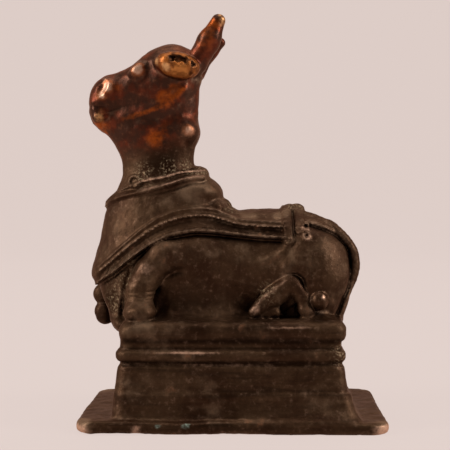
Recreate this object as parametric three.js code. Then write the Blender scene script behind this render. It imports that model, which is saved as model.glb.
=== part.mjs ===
// A recumbent bull with its head raised, cast in one piece with the stepped plinth that it lies on.
// Millimetres, +Z up, the bull facing -X, its left side towards -Y. The origin is the middle of the plinth's
// underside.
import * as THREE from "three";
import { triTable } from "three/addons/objects/MarchingCubes.js";

// The plinth's courses, from the ground up, and how far each stands out.
const FOOT_LENGTH = 70;
const FOOT_WIDTH = 46;
const FOOT_THICKNESS = 2.8;
const FOOT_CORNER_RADIUS = 4.5;
const SKIRT_HEIGHT = 5.8;
const LEFT_SKIRT_SPREAD = 0.5; // how far the skirt's foot stands out of its top, at the head's end
const RIGHT_SKIRT_SPREAD = 2.2; // and at the tail's end
const SKIRT_LEDGE = 0.45; // how far the skirt's foot stays inside the foot plate's long sides
const SKIRT_STEP = 0.45; // between the skirt's top and the die
const DIE_HEIGHT = 6.3;
const DIE_SPREAD = 0.9; // how far the die's foot stands out of the top slab
const LOWER_GROOVE_HEIGHT = 0.6;
const BEAD_HEIGHT = 2.9;
const BEAD_PROJECTION = 0.4;
const UPPER_GROOVE_HEIGHT = 1.8;
const SLAB_HEIGHT = 4.1;
const GROOVE_DEPTH = 0.6;
const TOP_LENGTH = 51;
const TOP_WIDTH = 38;
const PLINTH_CORNER_RADIUS = 3;
const COURSE_SHIFT = 0.45; // how far the die and the bead sit off the middle, towards the head
const EDGE_ROUNDNESS = 0.42; // times the thickness of the foot plate, the bead and the slab
const EDGE_RADIUS = 0.7;

const SKIRT_TOP = FOOT_THICKNESS + SKIRT_HEIGHT;
const DIE_TOP = SKIRT_TOP + DIE_HEIGHT;
const BEAD_LOW = DIE_TOP + LOWER_GROOVE_HEIGHT;
const BEAD_TOP = BEAD_LOW + BEAD_HEIGHT;
const SLAB_LOW = BEAD_TOP + UPPER_GROOVE_HEIGHT;
const PLINTH_HEIGHT = SLAB_LOW + SLAB_HEIGHT;

// The bull, from the plinth's top to the tip of its longer horn.
const FIGURE_HEIGHT = 71.3;

// Everything on the figure is a share of its height: places and radii are counted in shares from the middle
// of the plinth's top, x towards the tail, y across and z up. "out" is the distance from the middle plane,
// for what both sides have.
const SHARES_IN_ALL = 99;
const SHARE = FIGURE_HEIGHT / SHARES_IN_ALL;

// How finely the casting is cut into facets.
const CELL = 0.75;
const MOST_TRIANGLES = 9400;

const mix = (a, b, t) => a + (b - a) * t;
const clamp = THREE.MathUtils.clamp;
const smoothstep = (low, high, v) => THREE.MathUtils.smoothstep(v, low, high);
const span = (a, b, c = 0) => Math.sqrt(a * a + b * b + c * c);

// Joins distances with a fillet of about that radius.
function blend(radius, ...distances) {
  return distances.reduce((a, b) => {
    const h = Math.max(radius - Math.abs(a - b), 0);
    return Math.min(a, b) - (h * h) / (4 * radius);
  });
}

// Takes a hollow out of a solid and rounds its rim.
const hollow = (radius, solid, cut) => -blend(radius, -solid, cut);

// The distance to an ellipse or an ellipsoid, from the point's place in it and its radii.
function ellipsoid(u, v, w, ru, rv, rw) {
  const reach = span(u / ru, v / rv, w / rw);
  const slope = span(u / (ru * ru), v / (rv * rv), w / (rw * rw));
  return slope === 0 ? -Math.min(ru, rv, rw) : (reach * (reach - 1)) / slope;
}

// An ellipsoid, turned in the side view by degrees.
function ball([cx, cy, cz], [rx, ry, rz], tilt = 0) {
  const angle = THREE.MathUtils.degToRad(tilt);
  const c = Math.cos(angle);
  const s = Math.sin(angle);
  return (x, y, z) => {
    const u = (x - cx) * c + (z - cz) * s;
    const w = (z - cz) * c - (x - cx) * s;
    return ellipsoid(u, y - cy, w, rx, ry, rz);
  };
}

// A limb through points [x, y, z, radius], with a fillet at its joints.
function limb(fillet, ...points) {
  const bones = points.slice(1).map(([bx, by, bz, br], i) => {
    const [ax, ay, az, ar] = points[i];
    const [dx, dy, dz] = [bx - ax, by - ay, bz - az];
    const square = dx * dx + dy * dy + dz * dz;
    return (x, y, z) => {
      const t = clamp(((x - ax) * dx + (y - ay) * dy + (z - az) * dz) / square, 0, 1);
      return span(x - ax - t * dx, y - ay - t * dy, z - az - t * dz) - mix(ar, br, t);
    };
  });
  return (x, y, z) => bones.map((bone) => bone(x, y, z)).reduce((a, b) => blend(fillet, a, b));
}

// A form of elliptical sections, from stations [along, upper, lower, half width]: where a section is, the two
// reaches of its outline in the side view, and how far it stands out from the middle plane.
function loft(stations) {
  const first = stations[0][0];
  const last = stations.at(-1)[0];
  const steps = 160;
  const [uppers, lowers, sides] = [1, 2, 3].map((column) => {
    const curve = new THREE.CatmullRomCurve3(stations.map((s) => new THREE.Vector3(s[0], s[column], 0)));
    const points = curve.getPoints(2 * steps);
    let i = 0;
    return Array.from({ length: steps + 1 }, (_, n) => {
      const at = mix(first, last, n / steps);
      while (i < points.length - 2 && points[i + 1].x < at) i++;
      return mix(points[i].y, points[i + 1].y, (at - points[i].x) / (points[i + 1].x - points[i].x));
    });
  });
  return (along, across, y) => {
    const place = clamp(((along - first) / (last - first)) * steps, 0, steps - 1e-6);
    const i = Math.floor(place);
    const t = place - i;
    const upper = mix(uppers[i], uppers[i + 1], t);
    const lower = mix(lowers[i], lowers[i + 1], t);
    const side = mix(sides[i], sides[i + 1], t);
    const section = ellipsoid(across - (upper + lower) / 2, y, 0, (upper - lower) / 2, side, 1);
    const over = Math.max(first - along, along - last);
    return over > 0 ? span(Math.max(section, 0), over) : Math.max(section, over);
  };
}

// A line drawn on the side view through [x, z] points. It gives the distance from the line, positive on the
// left of the way that it runs, and the length along it. It keeps its last answer, because the surface is
// searched along y.
function line(...points) {
  const curve = new THREE.SplineCurve(points.map(([x, z]) => new THREE.Vector2(x, z)));
  const nodes = curve.getPoints(3 * points.length);
  let [lastX, lastZ, answer] = [NaN, NaN, null];
  return (x, z) => {
    if (x === lastX && z === lastZ) return answer;
    let [best, gap, along, length] = [Infinity, 0, 0, 0];
    for (let i = 1; i < nodes.length; i++) {
      const { x: ax, y: az } = nodes[i - 1];
      const dx = nodes[i].x - ax;
      const dz = nodes[i].y - az;
      const t = clamp(((x - ax) * dx + (z - az) * dz) / (dx * dx + dz * dz), 0, 1);
      const away = span(x - ax - t * dx, z - az - t * dz);
      if (away < best) {
        best = away;
        gap = dx * (z - az) - dz * (x - ax) < 0 ? -away : away;
        along = length + t * span(dx, dz);
      }
      length += span(dx, dz);
    }
    [lastX, lastZ, answer] = [x, z, { gap, along }];
    return answer;
  };
}

// A rounded welt of that half width and height, at a distance from its middle.
const welt = (gap, halfWidth, height) => height * (1 - smoothstep(0, halfWidth, Math.abs(gap)));

// A crease along a line, which deepens over a length from where the line starts.
function crease({ gap, along }, halfWidth, depth, fade) {
  return welt(gap, halfWidth, depth) * smoothstep(0, fade, along);
}

// A slab with rounded corners in plan and rounded edges, from one height to another.
function slab(x, y, z, halfLength, halfWidth, low, high, corner, edge) {
  const px = Math.abs(x) - halfLength + corner;
  const py = Math.abs(y) - halfWidth + corner;
  const plan = span(Math.max(px, 0), Math.max(py, 0)) + Math.min(Math.max(px, py), 0) - corner + edge;
  const rise = Math.abs(z - (low + high) / 2) - (high - low) / 2 + edge;
  return span(Math.max(plan, 0), Math.max(rise, 0)) + Math.min(Math.max(plan, rise), 0) - edge;
}

// The distance to the plinth, in millimetres.
function plinth(x, y, z) {
  const [halfLength, halfWidth, corner] = [TOP_LENGTH / 2, TOP_WIDTH / 2, PLINTH_CORNER_RADIUS];
  const batter = DIE_SPREAD * clamp((DIE_TOP - z) / DIE_HEIGHT, 0, 1);
  const spread = mix(LEFT_SKIRT_SPREAD, RIGHT_SKIRT_SPREAD, smoothstep(-halfLength, halfLength, x));
  const sideSpread = FOOT_WIDTH / 2 - SKIRT_LEDGE - halfWidth - DIE_SPREAD - SKIRT_STEP; // at the tail's end
  const fall = clamp((SKIRT_TOP - z) / SKIRT_HEIGHT, 0, 1) ** 2;
  const skirtX = halfLength + DIE_SPREAD + SKIRT_STEP + spread * fall;
  const skirtY = halfWidth + DIE_SPREAD + SKIRT_STEP + sideSpread * (spread / RIGHT_SKIRT_SPREAD) * fall;
  const lowX = x + COURSE_SHIFT;
  const [coreX, coreY] = [halfLength - GROOVE_DEPTH, halfWidth - GROOVE_DEPTH];
  const [beadX, beadY] = [halfLength + BEAD_PROJECTION, halfWidth + BEAD_PROJECTION];
  const [footEdge, beadEdge] = [FOOT_THICKNESS * EDGE_ROUNDNESS, BEAD_HEIGHT * EDGE_ROUNDNESS];
  return blend(
    0.6,
    slab(x, y, z, FOOT_LENGTH / 2, FOOT_WIDTH / 2, 0, FOOT_THICKNESS, FOOT_CORNER_RADIUS, footEdge),
    slab(x, y, z, skirtX, skirtY, 0, SKIRT_TOP, corner, EDGE_RADIUS),
    slab(lowX, y, z, halfLength + batter, halfWidth + batter, 0, DIE_TOP, corner, EDGE_RADIUS),
    slab(lowX, y, z, coreX, coreY, SKIRT_TOP, SLAB_LOW + SLAB_HEIGHT / 2, corner, EDGE_RADIUS),
    slab(lowX, y, z, beadX, beadY, BEAD_LOW, BEAD_TOP, corner, beadEdge),
    slab(x, y, z, halfLength, halfWidth, SLAB_LOW, PLINTH_HEIGHT, corner, SLAB_HEIGHT * EDGE_ROUNDNESS),
  );
}

// The body, by its length: its back, its belly and its half width.
const torso = loft([
  [-36, 27, -4, 12],
  [-28, 31.5, -5, 15],
  [-15, 33.6, -5, 16.5],
  [0, 34, -5, 16.8],
  [15, 34.4, -5, 17],
  [24, 33, -5, 17],
  [31, 29.5, -4, 15.5],
  [35, 25, -3, 12],
]);
const rump = ball([22.6, 0, 13.6], [15.5, 17.5, 19.2]);
const haunch = ball([27, 10, 14.6], [10, 9, 15]);
const shoulder = ball([-14, 9.5, 17], [14, 8.5, 10], 10);

// The chest, the neck and the throat, by height: its front, its back and its half width.
const neck = loft([
  [-4, 36, 14, 8],
  [2, 39.5, 10, 10],
  [10, 44.6, 7, 13],
  [18, 45.2, 3, 14.8],
  [26, 43.2, 0, 14.2],
  [34, 41.4, 2.5, 12.4],
  [40, 39, 7.6, 10.6],
  [45, 37, 10.8, 9.2],
  [50, 36.7, 12.9, 8.6],
  [54, 38.2, 12.8, 8.5],
  [58, 40.6, 11.8, 8.4],
  [61, 43, 11.7, 8.2],
  [64, 43, 11.7, 8],
  [70, 37, 11.5, 7.8],
  [77, 30, 11, 7.4],
]);

// The head's own measure runs from the back of the skull to the muzzle, which hangs by that many degrees.
const HEAD_BACK = [-12, 80];
const HEAD_SLOPE = 16.7;
const skull = loft([
  [-1, 7.5, -2, 6.5],
  [4, 11.4, -4, 8.6],
  [9, 12.2, -6.5, 9.6],
  [15, 11, -7.8, 9.6],
  [20, 8.8, -8, 8.4],
  [25, 7.8, -7.8, 7],
  [30, 7.7, -7.9, 6.6],
  [33.6, 6, -8.9, 6.8],
  [36.4, 2.6, -8.6, 5.8],
  [37.9, -1.5, -6.2, 3],
]);

function head(x, y, z) {
  const slope = THREE.MathUtils.degToRad(HEAD_SLOPE);
  const forward = HEAD_BACK[0] - x;
  const up = z - HEAD_BACK[1];
  const along = forward * Math.cos(slope) - up * Math.sin(slope);
  const across = forward * Math.sin(slope) + up * Math.cos(slope);
  return skull(along, across, y);
}

const eye = ball([-31.4, 7.2, 80.3], [3.5, 2.3, 2.5], 50);
const eyeSocket = ball([-29.9, 10.9, 79], [4.8, 2.1, 3.6], 50);
const jaw = limb(1.5, [-40, 4, 63.6, 1.6], [-32.8, 5.6, 65.3, 1.6], [-25, 6.8, 67.9, 1.8],
  [-21.6, 7, 69.6, 1.9], [-16.2, 6.4, 74.2, 1.4]);
const throatFold = limb(1, [-35.1, 5, 60, 1.4], [-30.2, 6.6, 61.1, 1.6], [-26.3, 6.6, 62.1, 1.4]);
const napeFold = ball([-16, 4, 60.6], [4.6, 4.3, 3.3], -6);
const nostril = limb(0.5, [-41.6, 5.6, 77, 0.6], [-42.9, 7, 75, 1.3], [-44, 7.4, 72.8, 1.7]);
const nostrilWing = limb(1, [-41.2, 4.2, 77, 0.8], [-40.2, 5.2, 75.2, 1.2], [-41.9, 5.8, 72.6, 1.1]);
const mouthDish = ball([-42.7, 7.9, 68.4], [2.5, 2.2, 1.7]);
const lowerLip = ball([-43.2, 4.6, 65.2], [3.2, 2.6, 1.5], 8);

const ear = ball([-17.9, 9.4, 81.9], [7.5, 5.8, 4.4], -11);
const earHollow = ball([-17.4, 15.6, 83.3], [5.9, 2.6, 2.2], -12);
const HORN_END_RADIUS = 2.3;
const nearHorn = limb(2, [-12, -4, 83, 3.7], [-7.6, -4.4, 90.6, 3.4],
  [-4.9, -4.4, SHARES_IN_ALL - HORN_END_RADIUS, HORN_END_RADIUS]);
const farHorn = limb(2, [-12.4, 4, 80.8, 3], [-7.9, 4.4, 87.8, 2.4], [-4.4, 4.6, 90.8, 1.8]);

// Edges of the cloths and the garland. They run from the rump to the chest, so that the distance from each is
// positive below it.
const neckRing = line([-6, 48.4], [-12.7, 47.7], [-21.8, 45.8], [-28.3, 44.7], [-35.4, 42.2], [-45, 35.5]);
const collar = line([-5, 46.4], [-14.4, 45.3], [-21.1, 43.3], [-28.3, 41.4], [-36.1, 39.8], [-40.4, 38.2],
  [-42.6, 36.8], [-46, 33.4]);
const garlandTop = line([22, 31.6], [8.7, 31.9], [2.3, 32.5], [-5.7, 35.8], [-10.5, 36.3], [-16.9, 35.4],
  [-23.3, 33.1], [-29.7, 29], [-36, 23.9], [-45, 15.9], [-52, 9]);
const garlandBottom = line([22, 25.7], [9.3, 25.9], [-5.7, 27.5], [-11.8, 27.7], [-16.9, 26.8], [-21.8, 25.5],
  [-26.5, 23.2], [-32.5, 19.5], [-39.2, 14.3], [-50, 6]);
const CHEST_FRONT = [-47, -43.5]; // the garland's strands fade out between these
const STRANDS_END = [15.5, 17];
const SADDLE_END = [18.5, 19.5];
const COLLAR_END = [-10, -7.5];

// How far the cloths stand proud of the body.
function drapery(x, z) {
  const [ring, roll] = [neckRing(x, z).gap, collar(x, z).gap];
  const [top, bottom] = [garlandTop(x, z).gap, garlandBottom(x, z).gap];
  const across = top / Math.max(top - bottom, 0.5);
  const cape = 0.8 * smoothstep(-0.6, 0.6, -bottom) * smoothstep(-0.8, 0.8, roll);
  const strands = welt(across - 0.2, 0.28, 0.9) + welt(across - 0.8, 0.25, 1.2);
  const underCut = welt(bottom - 0.9, 1.1, 0.6);
  const garland = (strands * smoothstep(...CHEST_FRONT, x) - underCut) * (1 - smoothstep(...STRANDS_END, x));
  const band = 0.5 * smoothstep(-0.8, 0.8, ring) * (1 - smoothstep(-0.8, 0.8, roll));
  const rolls = band + welt(ring, 1.5, 0.8) + welt(roll, 1.9, 1.4);
  return cape * (1 - smoothstep(...SADDLE_END, x)) + garland + rolls * (1 - smoothstep(...COLLAR_END, x));
}

// Two straps that go over the back behind the saddle: the middle, the half width and the lower end of each.
const STRAPS = [[17.5, 1.5, 24.2], [21.4, 1.6, 27.4]];
const STRAP_THICKNESS = 0.9;

// How far the straps stand proud of the body.
function girth(x, z) {
  const edges = STRAPS.map(([middle, halfWidth, low]) => Math.max(Math.abs(x - middle) - halfWidth, low - z));
  return edges.reduce((total, edge) => total + STRAP_THICKNESS * (1 - smoothstep(-0.9, 0.9, edge)), 0);
}

// Folds of cloth over the hump, from the collar down to the saddle, the knot of the girth on the back and the
// garland's end over the chest.
const collarRoll = ball([-11.4, 0, 46.9], [3.2, 6.2, 2.6], -18);
const hump = ball([-11.2, 0, 41.1], [6.9, 9.8, 4.5], -14);
const rearFolds = limb(0.8, [-5.4, -6.4, 35.8, 2.6], [-3.8, 0, 35.6, 3.1], [-5.4, 6.4, 35.8, 2.6]);
const rearKnot = limb(0.8, [-1.4, -4, 33.6, 1.9], [-0.8, 0, 33.4, 2.2], [-1.4, 4, 33.6, 1.9]);
const knot = limb(1, [18.7, -1.2, 34.8, 2.3], [21.6, 0.4, 34.9, 2.2]);
const garlandEnd = ball([-42.8, 0, 14.8], [4.1, 8.6, 4.5], -20);

// The tail hangs over the rump's left side, with metal between them.
const tail = limb(1, [20, -0.6, 33.8, 2.1], [24.3, -2.4, 32.2, 2.2], [31, -4.4, 29.8, 1.9],
  [35.5, -5.4, 26.5, 1.7], [38.2, -5.8, 23, 1.5], [39.4, -6, 19.2, 1.5], [39.1, -6, 14.6, 1.5],
  [36.6, -5.8, 8.8, 1.6], [34.4, -5.5, 4.2, 1.6], [33.2, -5.5, -1, 1.7]);
const TAIL_FLATNESS = 1.5; // its width over its thickness
const tailWeb = limb(1, [30, -1.6, 28, 1.6], [34.6, -2.6, 25, 1.7], [38, -3.2, 18, 1.5],
  [37.8, -3, 13.4, 1.5], [34, -3, 3, 1.8]);
const tailLine = line([21, 30.6], [24.5, 30], [29.4, 28.4], [34.3, 25.8], [37.2, 22.9], [37.9, 19.2],
  [37.9, 14.3], [36.6, 9.4], [33.4, 1]);

// Legs. The near foreleg is tucked under its shoulder, and the far one reaches forward past the plinth's end,
// with a web of metal under it.
const nearForeleg = limb(3, [-12, 12.5, 21, 5.5], [-21.5, 14.6, 20, 5], [-27, 16.6, 15, 4.3],
  [-29.5, 18.4, 10, 3.8], [-29.6, 19.6, 6, 4]);
const nearHoof = ball([-29.4, 21, 3.2], [5.2, 5.3, 3.4]);
const elbowLine = line([-13.4, 15.2], [-17, 15.6], [-20.6, 15], [-23.4, 13.4], [-24.8, 10.4], [-25.4, 3]);
const forelegLine = line([-22, 24.4], [-27, 22.4], [-31, 19], [-33.8, 14], [-35.2, 9], [-36.2, 1]);
const farForeleg = limb(3, [-14, 13, 20, 6], [-28, 13, 17, 5.4], [-38, 10.6, 11, 4.2], [-44, 8.6, 6.2, 3.5]);
const farHoof = limb(1, [-43.8, 8, 0.6, 3.2], [-43.4, 8, -1, 3.1]);
const web = ball([-36.6, 0, -2.2], [4.6, 12, 3.2], -40);
const dewlap = limb(3, [-40, 1, 14, 3.6], [-38.6, 4, 7.6, 3.6], [-36.6, 5, 1, 4]);
const hindShank = limb(1, [18.6, 16.8, 11.2, 3.7], [12.6, 18.3, 7.2, 3.3], [6.8, 20.2, 2.8, 2.1]);
const shankWeb = limb(1, [9, 19.4, 1.8, 1.6], [13.2, 18.4, 2.6, 2.2]);
const hindHeel = limb(1, [19.5, 16.8, 11.4, 3.5], [22.4, 18, 7.4, 2.4], [23.4, 19, 3, 2.5]);
const hindFoot = limb(2, [24, 18.5, 0.8, 2.2], [29, 17, 0, 2]);
const hock = ball([27.4, 18.8, 6.5], [2.8, 3.2, 3.2]);
const hockSocket = ball([27.4, 21.4, 5.2], [3.3, 3, 3.6]);
const legHollow = limb(0.5, [20.4, 0, 5.4, 0.3], [18.8, 0, 2, 1.4], [20.6, 0, 1.4, 0.9], [16.4, 0, 0.9, 0.5]);
const LEG_HOLLOW_DEPTH = 13.5; // how far from the middle plane it stops

// The metal around the bull covers the plinth's top and falls outwards from the bull's foot, and the belly flows
// into it. How far it stays inside the top slab and reaches down into it is in millimetres.
const APRON_SIDE_INSET = 0.15;
const APRON_END_INSET = 1;
const APRON_DEPTH = 3.3;

function apron(x, out, z) {
  const top = 0.9 - 0.16 * (out - 17);
  const side = (TOP_WIDTH / 2 - APRON_SIDE_INSET) / SHARE - out;
  const end = (TOP_LENGTH / 2 - APRON_END_INSET) / SHARE - Math.abs(x);
  return -blend(3, top - z, side, Math.min(end, z + APRON_DEPTH / SHARE));
}

// The distance to the bull, in shares.
function bull(x, y, z) {
  const out = Math.abs(y);
  const nearSide = smoothstep(2, 5, -y);
  const trunk = blend(6, torso(x, z, y), rump(x, y, z), haunch(x, out, z), shoulder(x, out, z));
  const clothed = blend(4, trunk, neck(z, -x, y), hump(x, y, z)) - drapery(x, z) - girth(x, z);
  const rolls = blend(1, collarRoll(x, y, z), rearFolds(x, y, z), rearKnot(x, y, z), garlandEnd(x, y, z));

  let face = blend(2.5, head(x, y, z), jaw(x, out, z));
  face = hollow(2, face, eyeSocket(x, out, z));
  face = blend(1.6, face, eye(x, out, z), nostrilWing(x, out, z));
  face = hollow(0.7, face, Math.min(nostril(x, out, z), mouthDish(x, out, z)));
  face = blend(1.2, face, lowerLip(x, out, z));
  const ears = hollow(0.7, ear(x, out, z), earHollow(x, out, z));
  const crowned = blend(1.4, face, ears, nearHorn(x, y, z), farHorn(x, y, z));

  let body = blend(3, blend(1, clothed, rolls), crowned, throatFold(x, out, z));
  body = blend(3.5, body, napeFold(x, out, z));
  body = blend(2, body, dewlap(x, out, z));
  body = blend(0.5 + 12 * smoothstep(-28, -20, x) * smoothstep(-9, 4, -x), body, apron(x, out, z));
  if (nearSide > 0) {
    body += nearSide * (crease(elbowLine(x, z), 1.9, 1.3, 6) + crease(forelegLine(x, z), 1.4, 0.9, 6));
  }
  const nearLeg = blend(1.6, nearForeleg(x, out, z), nearHoof(x, out, z));
  const farLeg = blend(1, farForeleg(x, out, z), farHoof(x, out, z));
  body = blend(1.2, body, y < 0 ? nearLeg : farLeg, web(x, y, z));
  body = hollow(0.8, body, hockSocket(x, out, z));
  body = blend(1.2, body, ...[hindFoot, hindShank, shankWeb, hindHeel].map((form) => form(x, out, z)));
  body = hollow(0.8, body, Math.max(legHollow(x, 0, z), LEG_HOLLOW_DEPTH - out));
  body = blend(3.5, body, tailWeb(x, y, z));
  if (nearSide > 0) body += nearSide * crease(tailLine(x, z), 1.2, 1.3, 3);
  return blend(0.6, body, tail(x, y / TAIL_FLATNESS, z), knot(x, y, z), hock(x, out, z));
}

const FOOT_FILLET = 1.6; // between the bull and the plinth's top
const FIGURE_REACH = 9; // how far below the plinth's top the bull still matters, and above it the plinth

// The distance to the whole casting, in millimetres.
function casting(x, y, z) {
  const above = z - PLINTH_HEIGHT;
  if (above < -FIGURE_REACH) return Math.max(plinth(x, y, z), -z);
  const figure = bull(x / SHARE, y / SHARE, above / SHARE) * SHARE;
  return above > FIGURE_REACH ? figure : blend(FOOT_FILLET, plinth(x, y, z), figure);
}

// A cube's corners and the ends of its edges, in the order that the table of triangles counts them.
const CORNERS = [[0, 0, 0], [1, 0, 0], [1, 1, 0], [0, 1, 0], [0, 0, 1], [1, 0, 1], [1, 1, 1], [0, 1, 1]];
const EDGES = [
  [0, 1], [1, 2], [2, 3], [3, 0], [4, 5], [5, 6], [6, 7], [7, 4], [0, 4], [1, 5], [2, 6], [3, 7],
];

// The surface where the distance is zero, by marching cubes over a box: its points, and triangles of them.
function surfaceOf(distance, { min, max }, cell) {
  const [nx, ny, nz] = max.clone().sub(min).divideScalar(cell).ceil().addScalar(1).toArray();
  const place = (i, j, k) => [min.x + i * cell, min.y + j * cell, min.z + k * cell];
  const field = new Float32Array(nx * ny * nz);
  for (let row = 0; row < nx * nz; row++) {
    const i = row % nx;
    const k = Math.floor(row / nx);
    for (let j = 0; j < ny; ) {
      const d = distance(...place(i, j, k));
      const alike = clamp(Math.floor(Math.abs(d) / (2 * cell)), 1, ny - j); // nodes that are on the same side
      field.fill(d, row * ny + j, row * ny + j + alike);
      j += alike;
    }
  }
  const steps = CORNERS.map(([a, b, c]) => b + ny * (a + nx * c));
  const points = [];
  const triangles = [];
  const made = new Map();
  const pointOn = (node, from, to) => {
    const [a, b] = steps[from] < steps[to] ? [from, to] : [to, from];
    const axis = CORNERS[b].findIndex((v, n) => v !== CORNERS[a][n]);
    const key = 3 * (node + steps[a]) + axis;
    if (!made.has(key)) {
      const [low, high] = [field[node + steps[a]], field[node + steps[b]]];
      const j = (node + steps[a]) % ny;
      const row = Math.floor((node + steps[a]) / ny);
      const point = place(row % nx, j, Math.floor(row / nx));
      point[axis] += cell * clamp(low / (low - high), 0.05, 0.95);
      made.set(key, points.length);
      points.push(point);
    }
    return made.get(key);
  };
  for (let k = 0; k < nz - 1; k++)
    for (let i = 0; i < nx - 1; i++)
      for (let j = 0; j < ny - 1; j++) {
        const node = j + ny * (i + nx * k);
        let kind = 0;
        for (let n = 0; n < 8; n++) if (field[node + steps[n]] > 0) kind |= 1 << n;
        if (kind === 0 || kind === 255) continue;
        for (let t = 16 * kind; triTable[t] !== -1; t += 3) {
          triangles.push([t, t + 1, t + 2].map((n) => pointOn(node, ...EDGES[triTable[n]])));
        }
      }
  return { points, triangles };
}

// Moves each point along the slope of the distance onto the surface.
function settle(points, distance, step) {
  return points.map(([x, y, z]) => {
    const d = distance(x, y, z);
    const beside = [distance(x + step, y, z), distance(x, y + step, z), distance(x, y, z + step)];
    const slope = new THREE.Vector3(...beside).subScalar(d).divideScalar(step);
    const move = slope.multiplyScalar(-clamp(d, -step, step) / Math.max(slope.lengthSq(), 0.25));
    return [x + move.x, y + move.y, z + move.z];
  });
}

// A heap that gives back the entry of least cost.
class Heap {
  entries = [];

  push(entry) {
    const { entries } = this;
    let at = entries.push(entry) - 1;
    while (at > 0) {
      const parent = (at - 1) >> 1;
      if (entries[parent].cost <= entry.cost) break;
      entries[at] = entries[parent];
      at = parent;
    }
    entries[at] = entry;
  }

  pop() {
    const { entries } = this;
    const top = entries[0];
    const entry = entries.pop();
    let at = 0;
    while (2 * at + 1 < entries.length) {
      let child = 2 * at + 1;
      if (child + 1 < entries.length && entries[child + 1].cost < entries[child].cost) child++;
      if (entry.cost <= entries[child].cost) break;
      entries[at] = entries[child];
      at = child;
    }
    if (entries.length > 0) entries[at] = entry;
    return top;
  }
}

const SLIVER = 1e-3; // twice the area of a triangle that is as good as none

// Merges the ends of edges, the least missed first, until no more than that many triangles are left. A merge
// costs the new point's squared distance to the planes of the triangles that it stands for, by their area.
function simplified({ points, triangles }, most) {
  const position = points.map((p) => new THREE.Vector3(...p));
  const around = points.map(() => new Set()); // each point's triangles
  const version = points.map(() => 0);
  const planes = points.map(() => new Float64Array(10));
  const heap = new Heap();
  const [ab, ac] = [new THREE.Vector3(), new THREE.Vector3()];
  const normalOf = (a, b, c) => ab.subVectors(b, a).cross(ac.subVectors(c, a)).clone();

  triangles.forEach((triangle, t) => {
    const normal = normalOf(...triangle.map((p) => position[p]));
    const area = normal.length() / 2;
    normal.normalize();
    const plane = [normal.x, normal.y, normal.z, -normal.dot(position[triangle[0]])];
    const products = plane.flatMap((v, i) => plane.slice(i).map((w) => v * w * area));
    triangle.forEach((p) => {
      around[p].add(t);
      products.forEach((v, i) => (planes[p][i] += v));
    });
  });

  const neighbours = (p) => {
    const found = new Set();
    around[p].forEach((t) => triangles[t].forEach((q) => found.add(q)));
    found.delete(p);
    return found;
  };

  const offer = (a, b) => {
    const [xx, xy, xz, xw, yy, yz, yw, zz, zw, ww] = planes[a].map((v, i) => v + planes[b][i]);
    const middle = position[a].clone().add(position[b]).multiplyScalar(0.5);
    const pull = 1e-3 * (xx + yy + zz); // towards the middle, where the planes leave the point free
    const point = new THREE.Vector3(pull * middle.x - xw, pull * middle.y - yw, pull * middle.z - zw);
    const system = new THREE.Matrix3().set(xx + pull, xy, xz, xy, yy + pull, yz, xz, yz, zz + pull);
    point.applyMatrix3(system.invert());
    if (position[a].z === 0 || position[b].z === 0) point.z = 0; // the underside stays flat
    const { x, y, z } = point;
    const squares = xx * x * x + yy * y * y + zz * z * z + ww;
    const cost = squares + 2 * (xy * x * y + xz * x * z + yz * y * z + xw * x + yw * y + zw * z);
    heap.push({ cost, a, b, point, versions: version[a] + version[b] });
  };

  const turnsOver = (p, other, point) =>
    [...around[p]].some((t) => {
      const corners = triangles[t];
      if (corners.includes(other)) return false;
      const before = normalOf(...corners.map((q) => position[q]));
      const after = normalOf(...corners.map((q) => (q === p ? point : position[q])));
      const spoilt = after.length() < SLIVER || before.dot(after) < 0.25 * before.length() * after.length();
      return before.length() > SLIVER && spoilt;
    });

  for (const [p, q, r] of triangles) {
    if (p < q) offer(p, q);
    if (q < r) offer(q, r);
    if (r < p) offer(r, p);
  }
  let left = triangles.length;
  while (left > most && heap.entries.length > 0) {
    const { a, b, point, versions } = heap.pop();
    if (versions !== version[a] + version[b] || around[a].size === 0 || around[b].size === 0) continue;
    const nextToB = neighbours(b);
    const shared = [...neighbours(a)].filter((p) => nextToB.has(p));
    if (shared.length !== 2 || turnsOver(a, b, point) || turnsOver(b, a, point)) continue;
    for (const t of around[b]) {
      if (triangles[t].includes(a)) {
        triangles[t].forEach((p) => p !== b && around[p].delete(t));
        left--;
      } else {
        triangles[t] = triangles[t].map((p) => (p === b ? a : p));
        around[a].add(t);
      }
    }
    around[b].clear();
    planes[b].forEach((v, i) => (planes[a][i] += v));
    position[a].copy(point);
    const ring = neighbours(a);
    version[a] += 2;
    ring.forEach((p) => offer(Math.min(a, p), Math.max(a, p)));
  }
  const kept = new Map();
  const used = triangles.filter((corners, t) => around[corners[0]].has(t));
  used.flat().forEach((p) => kept.has(p) || kept.set(p, kept.size));
  return {
    points: [...kept.keys()].map((p) => position[p].toArray()),
    triangles: used.map((corners) => corners.map((p) => kept.get(p))),
  };
}

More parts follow.
